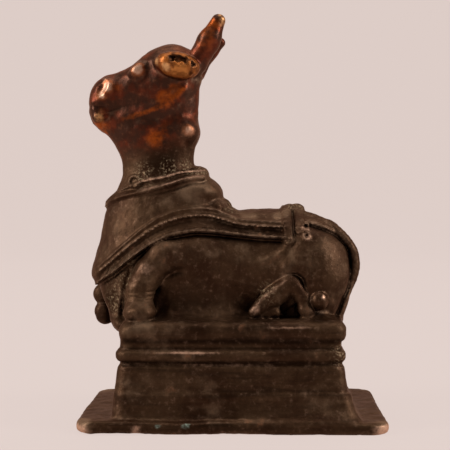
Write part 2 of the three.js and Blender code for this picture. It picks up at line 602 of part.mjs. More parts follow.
function castingMesh() {
  const reach = Math.max(FOOT_LENGTH / 2, FIGURE_HEIGHT / 2) + 3 * CELL;
  const halfWidth = Math.max(FOOT_WIDTH / 2, FIGURE_HEIGHT / 4) + 3 * CELL;
  const box = new THREE.Box3(
    new THREE.Vector3(-reach, -halfWidth, -CELL / 2),
    new THREE.Vector3(reach, halfWidth, PLINTH_HEIGHT + 1.02 * FIGURE_HEIGHT),
  );
  const rough = surfaceOf(casting, box, CELL);
  rough.points = settle(rough.points, casting, CELL / 4).map(([x, y, z]) => [x, y, z < CELL / 10 ? 0 : z]);
  const { points, triangles } = simplified(rough, MOST_TRIANGLES);
  const geometry = new THREE.BufferGeometry();
  geometry.setAttribute("position", new THREE.Float32BufferAttribute(points.flat(), 3));
  geometry.setIndex(triangles.flat());
  const bronze = new THREE.MeshStandardMaterial({ color: 0x3a2a20, roughness: 0.5, metalness: 0.85 });
  const mesh = new THREE.Mesh(geometry, bronze);
  mesh.name = "nandi_bull_on_plinth";
  return mesh;
}

const nandi = new THREE.Group();
nandi.add(castingMesh());

export default nandi;
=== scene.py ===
"""A small cast bronze bull lying on a stepped plinth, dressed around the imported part.

The scene is in metres, in the part's own frame: +Z up, the bull facing -X, the origin under the middle of the
plinth. The casting is drawn in the part's millimetres, and the bull on it in shares of its own height.
"""

import math

import bpy
import numpy as np
import openvdb
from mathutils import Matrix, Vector


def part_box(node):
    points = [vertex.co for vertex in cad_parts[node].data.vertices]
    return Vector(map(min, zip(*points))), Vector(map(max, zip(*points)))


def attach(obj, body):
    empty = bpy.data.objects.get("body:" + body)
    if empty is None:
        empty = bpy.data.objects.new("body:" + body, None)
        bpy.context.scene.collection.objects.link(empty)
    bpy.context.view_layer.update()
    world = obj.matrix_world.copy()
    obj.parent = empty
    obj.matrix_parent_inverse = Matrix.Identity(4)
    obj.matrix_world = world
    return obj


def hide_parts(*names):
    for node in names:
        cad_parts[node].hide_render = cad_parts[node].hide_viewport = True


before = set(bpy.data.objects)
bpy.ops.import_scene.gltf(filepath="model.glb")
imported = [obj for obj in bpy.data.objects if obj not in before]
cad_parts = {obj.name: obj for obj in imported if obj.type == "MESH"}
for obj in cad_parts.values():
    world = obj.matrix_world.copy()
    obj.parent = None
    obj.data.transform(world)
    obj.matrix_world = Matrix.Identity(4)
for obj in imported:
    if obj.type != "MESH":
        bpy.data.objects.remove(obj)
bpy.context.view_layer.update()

NODE = "nandi_bull_on_plinth"
BOX_LOW, BOX_HIGH = (np.array(corner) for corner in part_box(NODE))
TURN = 2 * math.pi

# The whole height, and the plinth's courses from the ground up, in millimetres at the part's own size.
DRAWN_HEIGHT = 95.6
FOOT_THICKNESS = 2.8
SKIRT_HEIGHT = 5.8
LEFT_SKIRT_SPREAD = 0.5
RIGHT_SKIRT_SPREAD = 2.2
SKIRT_LEDGE = 0.45  # how far the skirt's foot stays inside the foot plate's long sides
SKIRT_STEP = 0.45
DIE_HEIGHT = 6.3
DIE_SPREAD = 0.9
LOWER_GROOVE_HEIGHT = 0.6
BEAD_HEIGHT = 2.9
BEAD_PROJECTION = 0.4
UPPER_GROOVE_HEIGHT = 1.8
SLAB_HEIGHT = 4.1
GROOVE_DEPTH = 1.2
CAVETTO_DEPTH = 0.5
TOP_LENGTH = 51.0
TOP_WIDTH = 38.0
PLINTH_CORNER_RADIUS = 3.0
FOOT_CORNER_RADIUS = 4.5
COURSE_SHIFT = 0.45  # how far the die and the bead sit off the middle, towards the head
EDGE_ROUNDNESS = 0.42  # the radius of a course's edge, as a share of its height
SKIRT_EDGE = 0.7
DIE_EDGE = 0.8
CAVETTO_EDGE = 0.6
LOWER_FILLET = 0.8
UPPER_FILLET = 0.5
SKIRT_TOP = FOOT_THICKNESS + SKIRT_HEIGHT
DIE_TOP = SKIRT_TOP + DIE_HEIGHT
BEAD_LOW = DIE_TOP + LOWER_GROOVE_HEIGHT
BEAD_TOP = BEAD_LOW + BEAD_HEIGHT
SLAB_LOW = BEAD_TOP + UPPER_GROOVE_HEIGHT
PLINTH_HEIGHT = SLAB_LOW + SLAB_HEIGHT
DRAWN_MM = (BOX_HIGH[2] - BOX_LOW[2]) / DRAWN_HEIGHT
FOOT_LENGTH, FOOT_WIDTH = (BOX_HIGH - BOX_LOW)[:2] / DRAWN_MM

# The bull's shares are measured from the middle of the plinth's top.
HORN_TIP = 99
SHARE = (DRAWN_HEIGHT - PLINTH_HEIGHT) / HORN_TIP

# The grid that the mesh is taken from.
CELL = 0.3
BLOCK = 4  # cells along each side of a block of the coarse first look
NEARBY = 1.8  # how many blocks from the surface the grid is filled finely
MOST_TRIANGLES = 196_000


def smoothstep(low, high, value):
    t = np.clip((value - low) / (high - low), 0, 1)
    return t * t * (3 - 2 * t)


def fade(low, high, value):
    """One up to the low end, then falling smoothly to nothing at the high end."""
    return 1 - smoothstep(low, high, value)


def mix(a, b, t):
    return a + (b - a) * t


# Distances


def blend(radius, *distances):
    """Joins distances with a fillet of about that radius."""
    joined = distances[0]
    for other in distances[1:]:
        near = np.maximum(radius - np.abs(joined - other), 0)
        joined = np.minimum(joined, other) - near * near / (4 * radius)
    return joined


def hollow(radius, solid, cut):
    """Takes a hollow out of a solid and rounds its rim."""
    return -blend(radius, -solid, cut)


def ellipsoid(u, v, w, ru, rv, rw):
    reach = np.sqrt((u / ru) ** 2 + (v / rv) ** 2 + (w / rw) ** 2)
    slope = np.sqrt((u / ru**2) ** 2 + (v / rv**2) ** 2 + (w / rw**2) ** 2)
    return reach * (reach - 1) / np.maximum(slope, 1e-6)


def ball(centre, radii, tilt=0):
    """An ellipsoid, turned in the side view by degrees."""
    c, s = math.cos(math.radians(tilt)), math.sin(math.radians(tilt))

    def distance(x, y, z):
        u = (x - centre[0]) * c + (z - centre[2]) * s
        w = (z - centre[2]) * c - (x - centre[0]) * s
        return ellipsoid(u, y - centre[1], w, *radii)

    return distance


def limb(fillet, *points):
    """A limb through points (x, y, z, radius), with a fillet at its joints."""

    def bone(start, end, x, y, z):
        d = [end[i] - start[i] for i in range(3)]
        px, py, pz = x - start[0], y - start[1], z - start[2]
        t = np.clip((px * d[0] + py * d[1] + pz * d[2]) / sum(v * v for v in d), 0, 1)
        gap = np.sqrt((px - t * d[0]) ** 2 + (py - t * d[1]) ** 2 + (pz - t * d[2]) ** 2)
        return gap - mix(start[3], end[3], t)

    def distance(x, y, z):
        return blend(fillet, *(bone(a, b, x, y, z) for a, b in zip(points, points[1:])))

    return distance


def smooth_limb(*points, fillet=0.3):
    """A limb whose middle line curves smoothly through its points."""
    return limb(fillet, *Line.smoothed(np.array(points, float), 3))


def through(stations, column, at):
    """A smooth curve through one column of the stations, read at places along them."""
    places = np.array([s[0] for s in stations], float)
    values = np.array([s[column] for s in stations], float)
    tangents = np.gradient(values, places)
    i = np.clip(np.searchsorted(places, at) - 1, 0, len(places) - 2)
    step = places[i + 1] - places[i]
    t = np.clip((at - places[i]) / step, 0, 1)
    start = values[i] * (1 + 2 * t) * (1 - t) ** 2 + tangents[i] * step * t * (1 - t) ** 2
    end = values[i + 1] * t**2 * (3 - 2 * t) + tangents[i + 1] * step * t**2 * (t - 1)
    return start + end


def loft(stations):
    """A form of elliptical sections, from stations (along, upper, lower, half width)."""
    first, last = stations[0][0], stations[-1][0]

    def distance(along, across, y):
        upper, lower, side = (through(stations, column, along) for column in (1, 2, 3))
        section = ellipsoid(across - (upper + lower) / 2, y, 0, (upper - lower) / 2, side, 1)
        over = np.maximum(first - along, along - last)
        return np.where(over > 0, np.hypot(np.maximum(section, 0), over), np.maximum(section, over))

    return distance


class Line:
    """A line drawn on the side view through (x, z) points.

    It gives the distance from it, positive on the left of the way that it runs, and the length along it.
    """

    LOW, HIGH, STEP = np.array((-56.0, -10.0)), np.array((50.0, 80.0)), 0.25

    def __init__(self, *points):
        nodes = self.smoothed(np.array(points, float))
        x, z = (np.arange(low, high, self.STEP) for low, high in zip(self.LOW, self.HIGH))
        x, z = np.meshgrid(x, z, indexing="ij")
        best = np.full(x.shape, np.inf)
        self.gap = np.zeros(x.shape)
        self.along = np.zeros(x.shape)
        length = 0.0
        for a, b in zip(nodes, nodes[1:]):
            d = b - a
            t = np.clip(((x - a[0]) * d[0] + (z - a[1]) * d[1]) / (d @ d), 0, 1)
            gap = np.hypot(x - a[0] - t * d[0], z - a[1] - t * d[1])
            side = np.where(d[0] * (z - a[1]) - d[1] * (x - a[0]) < 0, -1, 1)
            closer = gap < best
            best = np.where(closer, gap, best)
            self.gap = np.where(closer, side * gap, self.gap)
            self.along = np.where(closer, length + t * np.hypot(*d), self.along)
            length += np.hypot(*d)

    @staticmethod
    def smoothed(points, steps=6):
        padded = np.vstack([points[:1], points, points[-1:]])
        rows = []
        for p0, p1, p2, p3 in zip(padded, padded[1:], padded[2:], padded[3:]):
            for t in np.arange(steps) / steps:
                slope = (p2 - p0) * t + (2 * p0 - 5 * p1 + 4 * p2 - p3) * t**2
                rows.append((2 * p1 + slope + (3 * p1 - p0 - 3 * p2 + p3) * t**3) / 2)
        return np.array(rows + [points[-1]])

    def read(self, grid, x, z):
        u = np.clip((x - self.LOW[0]) / self.STEP, 0, grid.shape[0] - 1.001)
        v = np.clip((z - self.LOW[1]) / self.STEP, 0, grid.shape[1] - 1.001)
        i, j = u.astype(int), v.astype(int)
        s, t = u - i, v - j
        low = mix(grid[i, j], grid[i + 1, j], s)
        return mix(low, mix(grid[i, j + 1], grid[i + 1, j + 1], s), t)

    def __call__(self, x, z):
        return self.read(self.gap, x, z)

    def length(self, x, z):
        return self.read(self.along, x, z)


def crease(line, x, z, half_width, depth, onset):
    """A crease along a line, which deepens over a length from where the line starts."""
    return welt(line(x, z), half_width, depth) * smoothstep(0, onset, line.length(x, z))


def welt(gap, half_width, height):
    """A rounded welt, at a distance from its middle."""
    return height * fade(0, half_width, np.abs(gap))


def swell(angle):
    """A wave between 0 and 1, from an angle."""
    return 0.5 + 0.5 * np.cos(angle)


def waves(seed, wavelength, count=10, finest=0.7):
    """Smooth noise of about that wavelength and down to a share of it, between about -1 and 1."""
    random = np.random.default_rng(seed)
    directions = random.normal(size=(count, 3))
    directions *= (TURN / wavelength) / np.linalg.norm(directions, axis=1, keepdims=True)
    directions *= random.uniform(0.7, 1 / finest, size=(count, 1))
    phases = random.uniform(0, TURN, size=count)

    def noise(x, y, z):
        total = sum(np.sin(x * d[0] + y * d[1] + z * d[2] + p) for d, p in zip(directions, phases))
        return total / math.sqrt(count * 2)

    return noise


# The plinth


def slab(x, y, z, half_length, half_width, low, high, corner, edge):
    """A slab with rounded corners in plan and rounded edges."""
    px = np.abs(x) - half_length + corner
    py = np.abs(y) - half_width + corner
    plan = np.hypot(np.maximum(px, 0), np.maximum(py, 0)) + np.minimum(np.maximum(px, py), 0) - corner + edge
    rise = np.abs(z - (low + high) / 2) - (high - low) / 2 + edge
    return np.hypot(np.maximum(plan, 0), np.maximum(rise, 0)) + np.minimum(np.maximum(plan, rise), 0) - edge


def plinth(x, y, z):
    half_length, half_width, corner = TOP_LENGTH / 2, TOP_WIDTH / 2, PLINTH_CORNER_RADIUS
    batter = DIE_SPREAD * np.clip((DIE_TOP - z) / DIE_HEIGHT, 0, 1)
    spread = mix(LEFT_SKIRT_SPREAD, RIGHT_SKIRT_SPREAD, smoothstep(-half_length, half_length, x))
    side_spread = FOOT_WIDTH / 2 - SKIRT_LEDGE - half_width - DIE_SPREAD - SKIRT_STEP
    fall = np.clip((SKIRT_TOP - z) / SKIRT_HEIGHT, 0, 1) ** 2
    skirt = (
        half_length + DIE_SPREAD + SKIRT_STEP + spread * fall,
        half_width + DIE_SPREAD + SKIRT_STEP + side_spread * (spread / RIGHT_SKIRT_SPREAD) * fall,
    )
    low_x = x + COURSE_SHIFT
    core = (half_length - GROOVE_DEPTH, half_width - GROOVE_DEPTH)
    cavetto = (half_length - CAVETTO_DEPTH, half_width - CAVETTO_DEPTH)
    bead = (half_length + BEAD_PROJECTION, half_width + BEAD_PROJECTION)
    foot_edge = FOOT_THICKNESS * EDGE_ROUNDNESS
    in_slab = SLAB_LOW + SLAB_HEIGHT / 2
    joined = blend(
        LOWER_FILLET,
        slab(x, y, z, FOOT_LENGTH / 2, FOOT_WIDTH / 2, 0, FOOT_THICKNESS, FOOT_CORNER_RADIUS, foot_edge),
        slab(x, y, z, *skirt, 0, SKIRT_TOP, corner, SKIRT_EDGE),
        slab(low_x, y, z, half_length + batter, half_width + batter, 0, DIE_TOP, corner, DIE_EDGE),
        slab(x, y, z, *core, SKIRT_TOP, in_slab, corner, DIE_EDGE),
    )
    return blend(
        UPPER_FILLET,
        joined,
        slab(low_x, y, z, *bead, BEAD_LOW, BEAD_TOP, corner, BEAD_HEIGHT * EDGE_ROUNDNESS),
        slab(low_x, y, z, *cavetto, SKIRT_TOP, in_slab, corner, CAVETTO_EDGE),
        slab(x, y, z, half_length, half_width, SLAB_LOW, PLINTH_HEIGHT, corner, SLAB_HEIGHT * EDGE_ROUNDNESS),
    )


# The bull, in shares

torso = loft([
    (-36, 27, -4, 12),
    (-28, 31.5, -5, 15),
    (-15, 33.6, -5, 16.5),
    (0, 34, -5, 16.8),
    (15, 34.4, -5, 17),
    (24, 33, -5, 17),
    (31, 29.5, -4, 15.5),
    (35, 25, -3, 12),
])
rump = ball((22.6, 0, 13.6), (15.5, 17.5, 19.2))
haunch = ball((27, 10, 14.6), (10, 9, 15))
shoulder = ball((-14, 9.5, 17), (14, 8.5, 10), 10)
neck = loft([
    (-4, 36, 14, 8),
    (2, 39.5, 10, 10),
    (10, 44.6, 7, 13),
    (18, 45.2, 3, 14.8),
    (26, 43.2, 0, 14.2),
    (34, 41.4, 2.5, 12.4),
    (40, 39, 7.6, 10.6),
    (45, 37, 10.8, 9.2),
    (50, 36.7, 12.9, 8.6),
    (54, 38.2, 12.8, 8.5),
    (58, 40.6, 11.8, 8.4),
    (61, 43, 11.7, 8.2),
    (64, 43, 11.7, 8),
    (70, 37, 11.5, 7.8),
    (77, 30, 11, 7.4),
])
HEAD_BACK = (-12, 80)
HEAD_SLOPE = 16.7
skull = loft([
    (-1, 7.5, -2, 6.5),
    (4, 11.4, -4, 8.6),
    (9, 12.2, -6.5, 9.6),
    (15, 11, -7.8, 9.6),
    (20, 8.8, -8, 8.4),
    (25, 7.8, -7.8, 7),
    (30, 7.7, -7.9, 6.6),
    (33.6, 6, -8.9, 6.8),
    (36.4, 2.6, -8.6, 5.8),
    (37.9, -1.5, -6.2, 3),
])


def head(x, y, z):
    c, s = math.cos(math.radians(HEAD_SLOPE)), math.sin(math.radians(HEAD_SLOPE))
    forward, up = HEAD_BACK[0] - x, z - HEAD_BACK[1]
    return skull(forward * c - up * s, forward * s + up * c, y)


eye = ball((-30.8, 7.3, 80.3), (3.2, 2.2, 2.3), 50)
eye_socket = ball((-29.9, 10.9, 79), (4.8, 2.1, 3.6), 50)
jaw = smooth_limb(
    (-40, 4, 63.6, 1.6), (-36.7, 5, 64.6, 1.6), (-32.8, 5.6, 65.3, 1.6), (-29.2, 6.2, 66.3, 1.7),
    (-25, 6.8, 67.9, 1.8), (-21.6, 7, 69.6, 1.9), (-18.8, 6.8, 71.8, 1.8), (-16.2, 6.4, 74.2, 1.4),
)
throat_fold = limb(1, (-35.1, 5, 60, 1.4), (-30.2, 6.6, 61.1, 1.6), (-26.3, 6.6, 62.1, 1.4))
nape_fold = ball((-16, 4, 60.6), (4.6, 4.3, 3.3), -6)
nape_crease = limb(1, (-20, 8.4, 56.8, 0.2), (-16, 8.6, 57, 0.5), (-12, 7, 57, 0.6))
nostril = limb(0.5, (-41.7, 6.4, 76.9, 0.9), (-42.8, 7, 75.2, 1.3), (-43.6, 7.2, 73.2, 1.1))
nostril_wing = smooth_limb(
    (-41.3, 4.4, 77.4, 0.8), (-40, 5.6, 75.2, 1.2), (-41.2, 6, 72.8, 1.1), (-43.6, 5.4, 71.2, 1),
)
mouth_dish = ball((-42.9, 8.2, 68.3), (2.7, 1.6, 1.8))
lower_lip = ball((-43.2, 4.6, 65.2), (3.2, 2.6, 1.5), 8)
ear = ball((-17.9, 9.4, 81.9), (7.5, 5.8, 4.4), -11)
ear_hollow = ball((-16.5, 15.8, 83.3), (5, 1.8, 2.1), -14)
ear_pits = [
    ball((-19, 14.2, 83.7), (1.4, 1.6, 1.2), -30),
    ball((-15.9, 14, 83.2), (1.9, 1.6, 0.9), -20),
    ball((-12.4, 13.6, 81.8), (0.8, 1.2, 1), -30),
]
ear_pitting = waves(7, 1.7, 12)
HORN_END_RADIUS = 2.3
near_horn = limb(
    2, (-12, -4, 83, 3.7), (-7.6, -4.4, 90.6, 3.4), (-4.9, -4.4, HORN_TIP - HORN_END_RADIUS, HORN_END_RADIUS),
)
far_horn = limb(2, (-12.4, 4, 80.8, 3), (-7.9, 4.4, 87.8, 2.4), (-4.4, 4.6, 90.8, 1.8))

# Lines on the cloths run towards the chest, so that the distance from each is positive below it.
neck_ring = Line(
    (-6, 48.4), (-8.8, 48), (-12.7, 47.7), (-17.6, 47.1), (-21.8, 45.8), (-28.3, 44.7), (-31.8, 43.7),
    (-35.4, 42.2), (-40.6, 39.2), (-45, 35.5),
)
collar = Line(
    (-5, 46.4), (-8.8, 45.9), (-14.4, 45.3), (-21.1, 43.3), (-28.3, 41.4), (-36.1, 39.8), (-40.4, 38.2),
    (-42.6, 36.8), (-46, 33.4),
)
garland_top = Line(
    (22, 31.6), (16.7, 31.7), (8.7, 31.9), (2.3, 32.5), (-0.9, 33.8), (-5.7, 35.8), (-10.5, 36.3),
    (-16.9, 35.4), (-23.3, 33.1), (-29.7, 29), (-36, 23.9), (-40.8, 19.7), (-45, 15.9), (-52, 9),
)
garland_bottom = Line(
    (22, 25.7), (16.7, 25.8), (9.3, 25.9), (1.9, 26.6), (-5.7, 27.5), (-11.8, 27.7), (-16.9, 26.8),
    (-21.8, 25.5), (-26.5, 23.2), (-32.5, 19.5), (-39.2, 14.3), (-43.1, 11.7), (-50, 6),
)
BROOCH = (-32.2, 44.4)
BROOCH_RADIUS = 1.7
BUCKLE = ((23.4, 29.7), (23.7, 26.9))
BUCKLE_RADIUS = 1.1
BEAD_PITCH, FINE_BEAD_PITCH, TWIST_PITCH = 1.75, 1.1, 2.8
EDGE_STRAND, BEADED_STRAND, TROUGH, FINE_STRAND, ROPE = 0.07, 0.34, 0.57, 0.76, 0.9  # across the garland
CAPE_THICKNESS = 0.8
CHEST_FRONT = (-47, -43.5)  # the garland's strands fade out between these
STRANDS_END, SADDLE_END, COLLAR_END = (15.5, 17), (18.5, 19.5), (-10, -7.5)


def drapery(x, near, z):
    """How far the cloths stand proud of the body."""
    ring, roll = neck_ring(x, z), collar(x, z)
    top, bottom = garland_top(x, z), garland_bottom(x, z)
    across = top / np.maximum(top - bottom, 0.5)
    along = garland_top.length(x, z)
    cape = CAPE_THICKNESS * smoothstep(-0.35, 0.35, -bottom) * smoothstep(-0.6, 0.6, roll)
    beads, fine_beads = (swell(TURN * along / pitch) for pitch in (BEAD_PITCH, FINE_BEAD_PITCH))
    twist = swell(TURN * (along / TWIST_PITCH + across))
    folds = 0.45 * fade(0.34, 0.46, across) * smoothstep(-0.02, 0.06, across)
    strands = folds + welt(across - EDGE_STRAND, 0.12, 0.6)
    strands = strands + welt(across - BEADED_STRAND, 0.09, 0.2 + 0.7 * beads)
    strands = strands - welt(across - TROUGH, 0.16, 0.45)
    strands = strands + welt(across - FINE_STRAND, 0.06, 0.2 + 0.5 * fine_beads)
    rope = welt(across - ROPE, 0.12, 1.2 + 0.3 * twist)
    under_cut = welt(bottom - 0.8, 0.9, 0.6)
    garland = ((strands + rope) * smoothstep(*CHEST_FRONT, x) - under_cut) * fade(*STRANDS_END, x)
    garland = garland + cape * fade(*SADDLE_END, x)
    bands = 0.4 * smoothstep(-0.4, 0.4, ring) * fade(-0.4, 0.4, roll) + welt(ring, 0.75, 0.9)
    roll_width = mix(1.9, 1.3, smoothstep(-41, -30, x))
    rolled = welt(roll, roll_width, 1.4) - welt(roll - 2, 1.1, 0.6) * smoothstep(-30, -20, x)
    brooch = welt(np.hypot(x - BROOCH[0], z - BROOCH[1]) - BROOCH_RADIUS, 0.8, 1) * near
    loops = sum(welt(np.hypot(x - at_x, z - at_z) - BUCKLE_RADIUS, 0.6, 0.9) for at_x, at_z in BUCKLE) * near
    return garland + (bands + rolled) * fade(*COLLAR_END, x) + brooch + loops


collar_roll = ball((-11.4, 0, 46.9), (3.2, 6.2, 2.6), -18)
hump = ball((-11.2, 0, 41.1), (6.9, 9.8, 4.5), -14)
rear_folds = limb(0.8, (-5.4, -6.4, 35.8, 2.6), (-3.8, 0, 35.6, 3.1), (-5.4, 6.4, 35.8, 2.6))
rear_knot = limb(0.8, (-1.4, -4, 33.6, 1.9), (-0.8, 0, 33.4, 2.2), (-1.4, 4, 33.6, 1.9))
knot = limb(1, (18.7, -1.2, 34.8, 2.3), (21.6, 0.4, 34.9, 2.2))
garland_end = ball((-42.8, 0, 14.8), (4.1, 8.6, 4.5), -20)
STRAPS = ((17.5, 1.5, 24.2), (21.4, 1.6, 27.4))  # middle, half width and lower end
STRAP_THICKNESS = 0.9
TAIL_FLATNESS = 1.5
tail = smooth_limb(
    (20, -0.6, 33.8, 2.1), (24.3, -2.4, 32.2, 2.2), (31, -4.4, 29.8, 1.9), (35.5, -5.4, 26.5, 1.7),
    (38.2, -5.8, 23, 1.5), (39.4, -6, 19.2, 1.5), (39.1, -6, 14.6, 1.5), (36.6, -5.8, 8.8, 1.6),
    (34.4, -5.5, 4.2, 1.6), (33.2, -5.5, -1, 1.7),
)
tail_web = smooth_limb(
    (30, -1.6, 28, 1.6), (34.6, -2.6, 25, 1.7), (37.2, -3, 21.6, 1.5), (38, -3.2, 18, 1.5),
    (37.8, -3, 13.4, 1.5), (36, -3, 8.6, 1.6), (34, -3, 3, 1.8),
)
tail_line = Line(
    (21, 30.6), (24.5, 30), (29.4, 28.4), (34.3, 25.8), (37.2, 22.9), (37.9, 19.2), (37.9, 14.3), (36.6, 9.4),
    (35, 6.1), (33.4, 1),
)

near_foreleg = limb(
    3, (-12, 12.5, 21, 5.5), (-21.5, 14.6, 20, 5), (-27, 16.6, 15, 4.3), (-29.5, 18.4, 10, 3.8),
    (-29.6, 19.6, 6, 4),
)
near_hoof = ball((-29.4, 21, 3.2), (5.2, 5.3, 3.4))
BRACELETS = (9.4, 8.1, 6.8)
far_foreleg = limb(3, (-14, 13, 20, 6), (-28, 13, 17, 5.4), (-38, 10.6, 11, 4.2), (-44, 8.6, 6.2, 3.5))
far_hoof = limb(1, (-43.8, 8, 0.6, 3.2), (-43.4, 8, -1, 3.1))
web = ball((-36.6, 0, -2.2), (4.6, 12, 3.2), -40)
dewlap = limb(3, (-40, 1, 14, 3.6), (-38.6, 4, 7.6, 3.6), (-36.6, 5, 1, 4))
APRON_SIDE_INSET, APRON_END_INSET, APRON_DEPTH = 0.15, 1, 3.3  # in millimetres, from the top slab
APRON_TOP, APRON_SLOPE, APRON_MIDDLE = 0.9, 0.16, 17  # in shares: its height, its fall, and how far out
SHANK = ((18.6, 16.8, 11.2, 3.7), (12.6, 18.3, 7.2, 3.3), (6.8, 20.2, 2.8, 2.1))
HEEL = ((19.5, 16.8, 11.4, 3.5), (22.4, 18, 7.4, 2.4), (23.4, 19, 3, 2.5))
hind_shank = limb(1, *SHANK)
hind_heel = limb(1, *HEEL)
hind_foot = limb(2, (24, 18.5, 0.8, 2.2), (29, 17, 0, 2))
shank_web = limb(1, (9, 19.4, 1.8, 1.6), (13.2, 18.4, 2.6, 2.2))
leg_moat = limb(1, *((x, y + 3.2, z, radius + 0.1) for x, y, z, radius in (*reversed(SHANK), *HEEL[:2])))
hock = ball((27.4, 18.8, 6.5), (2.8, 3.2, 3.2))
hock_socket = ball((27.4, 21.4, 5.2), (3.3, 3, 3.6))
KNUCKLE_SIZE = (1.1, 1.2, 0.9)
knuckles = [ball(place, KNUCKLE_SIZE) for place in ((24.6, 17.6, 13.2), (25.8, 17.6, 11.6), (27.4, 17.6, 11))]
flank_line = Line((17.6, 26), (16.4, 22.6), (12, 19.6), (5, 17.4), (-2, 16.6))
leg_hollow = limb(0.5, (20.4, 0, 5.4, 0.3), (18.8, 0, 2, 1.4), (20.6, 0, 1.4, 0.9), (16.4, 0, 0.9, 0.5))
LEG_HOLLOW_DEPTH = 13.5
foot_gap = limb(1, (4, 21.5, 0.3, 0.3), (10, 21, 0.4, 0.5), (15, 20, 0.6, 0.6))
elbow_line = Line(
    (-13.4, 15.2), (-17, 15.6), (-20.6, 15), (-23.4, 13.4), (-24.8, 10.4), (-25.2, 6.4), (-25.4, 3),
)
jaw_line = Line(
    (-38, 64.2), (-34, 65), (-29.2, 66.3), (-25, 67.9), (-21.6, 69.6), (-18.8, 71.8), (-16.2, 74.2),
)
foreleg_line = Line((-22, 24.4), (-27, 22.4), (-31, 19), (-33.8, 14), (-35.2, 9), (-36, 4), (-36.2, 1))


def pitted(x, out, z):
    """The distance to the ragged pits in an ear."""
    return np.minimum.reduce([pit(x, out, z) for pit in ear_pits]) + 0.55 * ear_pitting(x, out, z)


def girth(x, out, z):
    """How far the straps behind the saddle stand proud."""
    total = 0
    for middle, half_width, low in STRAPS:
        beside, below = np.abs(x - middle), low + half_width - z
        rounded = np.hypot(np.maximum(beside - 0.2, 0), np.maximum(below, 0)) - half_width
        edge = np.where(below > 0, rounded, np.maximum(beside - half_width, below))
        total = total + STRAP_THICKNESS * fade(-0.5, 0.5, edge)
    return total


def apron(x, out, z):
    """The distance to the metal around the bull, which covers the plinth's top and falls outwards."""
    top = APRON_TOP - APRON_SLOPE * (out - APRON_MIDDLE)
    side = (TOP_WIDTH / 2 - APRON_SIDE_INSET) / SHARE - out
    end = (TOP_LENGTH / 2 - APRON_END_INSET) / SHARE - np.abs(x)
    return -blend(3, top - z, side, np.minimum(end, z + APRON_DEPTH / SHARE))


def on_near_side(y):
    """One on the near side of the bull, fading out towards its middle."""
    return smoothstep(2, 5, -y)


def dressed_trunk(x, y, z):
    """The distance to the trunk and neck with the cloths on them."""
    out = np.abs(y)
    trunk = blend(6, torso(x, z, y), rump(x, y, z), haunch(x, out, z), shoulder(x, out, z))
    trunk = blend(4, trunk, neck(z, -x, y), hump(x, y, z)) - drapery(x, y < 0, z) - girth(x, out, z)
    rolls = blend(1, collar_roll(x, y, z), rear_folds(x, y, z), rear_knot(x, y, z), garland_end(x, y, z))
    return blend(1, trunk, rolls)


def crowned_head(x, y, z):
    """The distance to the head with its ears and horns."""
    out = np.abs(y)
    face = blend(2.5, head(x, y, z), jaw(x, out, z))
    face = hollow(3.4, face, eye_socket(x, out, z))
    face = blend(1.6, face, eye(x, out, z), nostril_wing(x, out, z))
    face = hollow(1.2, face, np.minimum(nostril(x, out, z), mouth_dish(x, out, z)))
    face = blend(1.2, face, lower_lip(x, out, z))
    face = face + welt(z - 68.7, 1.2, 0.5) * smoothstep(41, 42, -x)
    ragged = ear_pitting(x, out, z)
    ears = hollow(0.7, ear(x, out, z) + 0.12 * ragged, ear_hollow(x, out, z) + 0.5 * ragged)
    ears = hollow(0.4, ears, pitted(x, out, z))
    return blend(1.4, face, ears, near_horn(x, y, z), far_horn(x, y, z))


def with_forelegs(body, x, y, z):
    """Adds the forelegs, the creases around the near one and the web under the far one."""
    out, near_side = np.abs(y), on_near_side(y)
    leg_creases = crease(elbow_line, x, z, 1.9, 1.3, 6) + crease(foreleg_line, x, z, 1.4, 0.9, 6)
    body = body + near_side * leg_creases
    past_elbow = elbow_line.length(x, z)
    elbow_fold = welt(elbow_line(x, z) + 2.4, 2, 0.8) * smoothstep(0, 6, past_elbow)
    body = body - near_side * elbow_fold * fade(10, 15, past_elbow)
    bracelets = sum(welt(z - height, 0.5, 0.3) for height in BRACELETS)
    near_leg = blend(1.6, near_foreleg(x, out, z) + bracelets, near_hoof(x, out, z))
    far_leg = blend(1, far_foreleg(x, out, z), far_hoof(x, out, z))
    return blend(1.2, body, np.where(y < 0, near_leg, far_leg), web(x, y, z))


def with_hind_legs(body, x, out, z):
    """Adds the folded hind legs, with the hollow behind the shank and the gap above the foot."""
    body = hollow(0.8, body, hock_socket(x, out, z))
    body = body - crease(flank_line, x, z, 1.8, 0.6, 2) * fade(8, 22, flank_line.length(x, z))
    body = blend(2.5, hollow(1, body, leg_moat(x, out, z)), hind_foot(x, out, z))
    body = blend(0.6, body, blend(1, hind_shank(x, out, z), hind_heel(x, out, z), shank_web(x, out, z)))
    between_legs = np.maximum(leg_hollow(x, 0, z), LEG_HOLLOW_DEPTH - out)
    return hollow(0.8, body, np.minimum(between_legs, foot_gap(x, out, z)))


def bull(x, y, z):
    """The distance to the bull."""
    out = np.abs(y)
    body = blend(3, dressed_trunk(x, y, z), crowned_head(x, y, z), throat_fold(x, out, z))
    body = hollow(1.6, blend(3.5, body, nape_fold(x, out, z)), nape_crease(x, out, z))
    body = blend(2, body, dewlap(x, out, z))
    belly_fillet = 12 * smoothstep(-28, -20, x) * fade(-4, 9, x)
    body = blend(0.5 + belly_fillet, body, apron(x, out, z))
    body = with_hind_legs(with_forelegs(body, x, y, z), x, out, z)
    body = blend(3.5, body, tail_web(x, y, z)) + on_near_side(y) * crease(tail_line, x, z, 1.2, 1.3, 3)
    body = blend(0.6, body, tail(x, y / TAIL_FLATNESS, z), knot(x, y, z))
    return blend(0.5, body, hock(x, out, z), *(knob(x, out, z) for knob in knuckles))


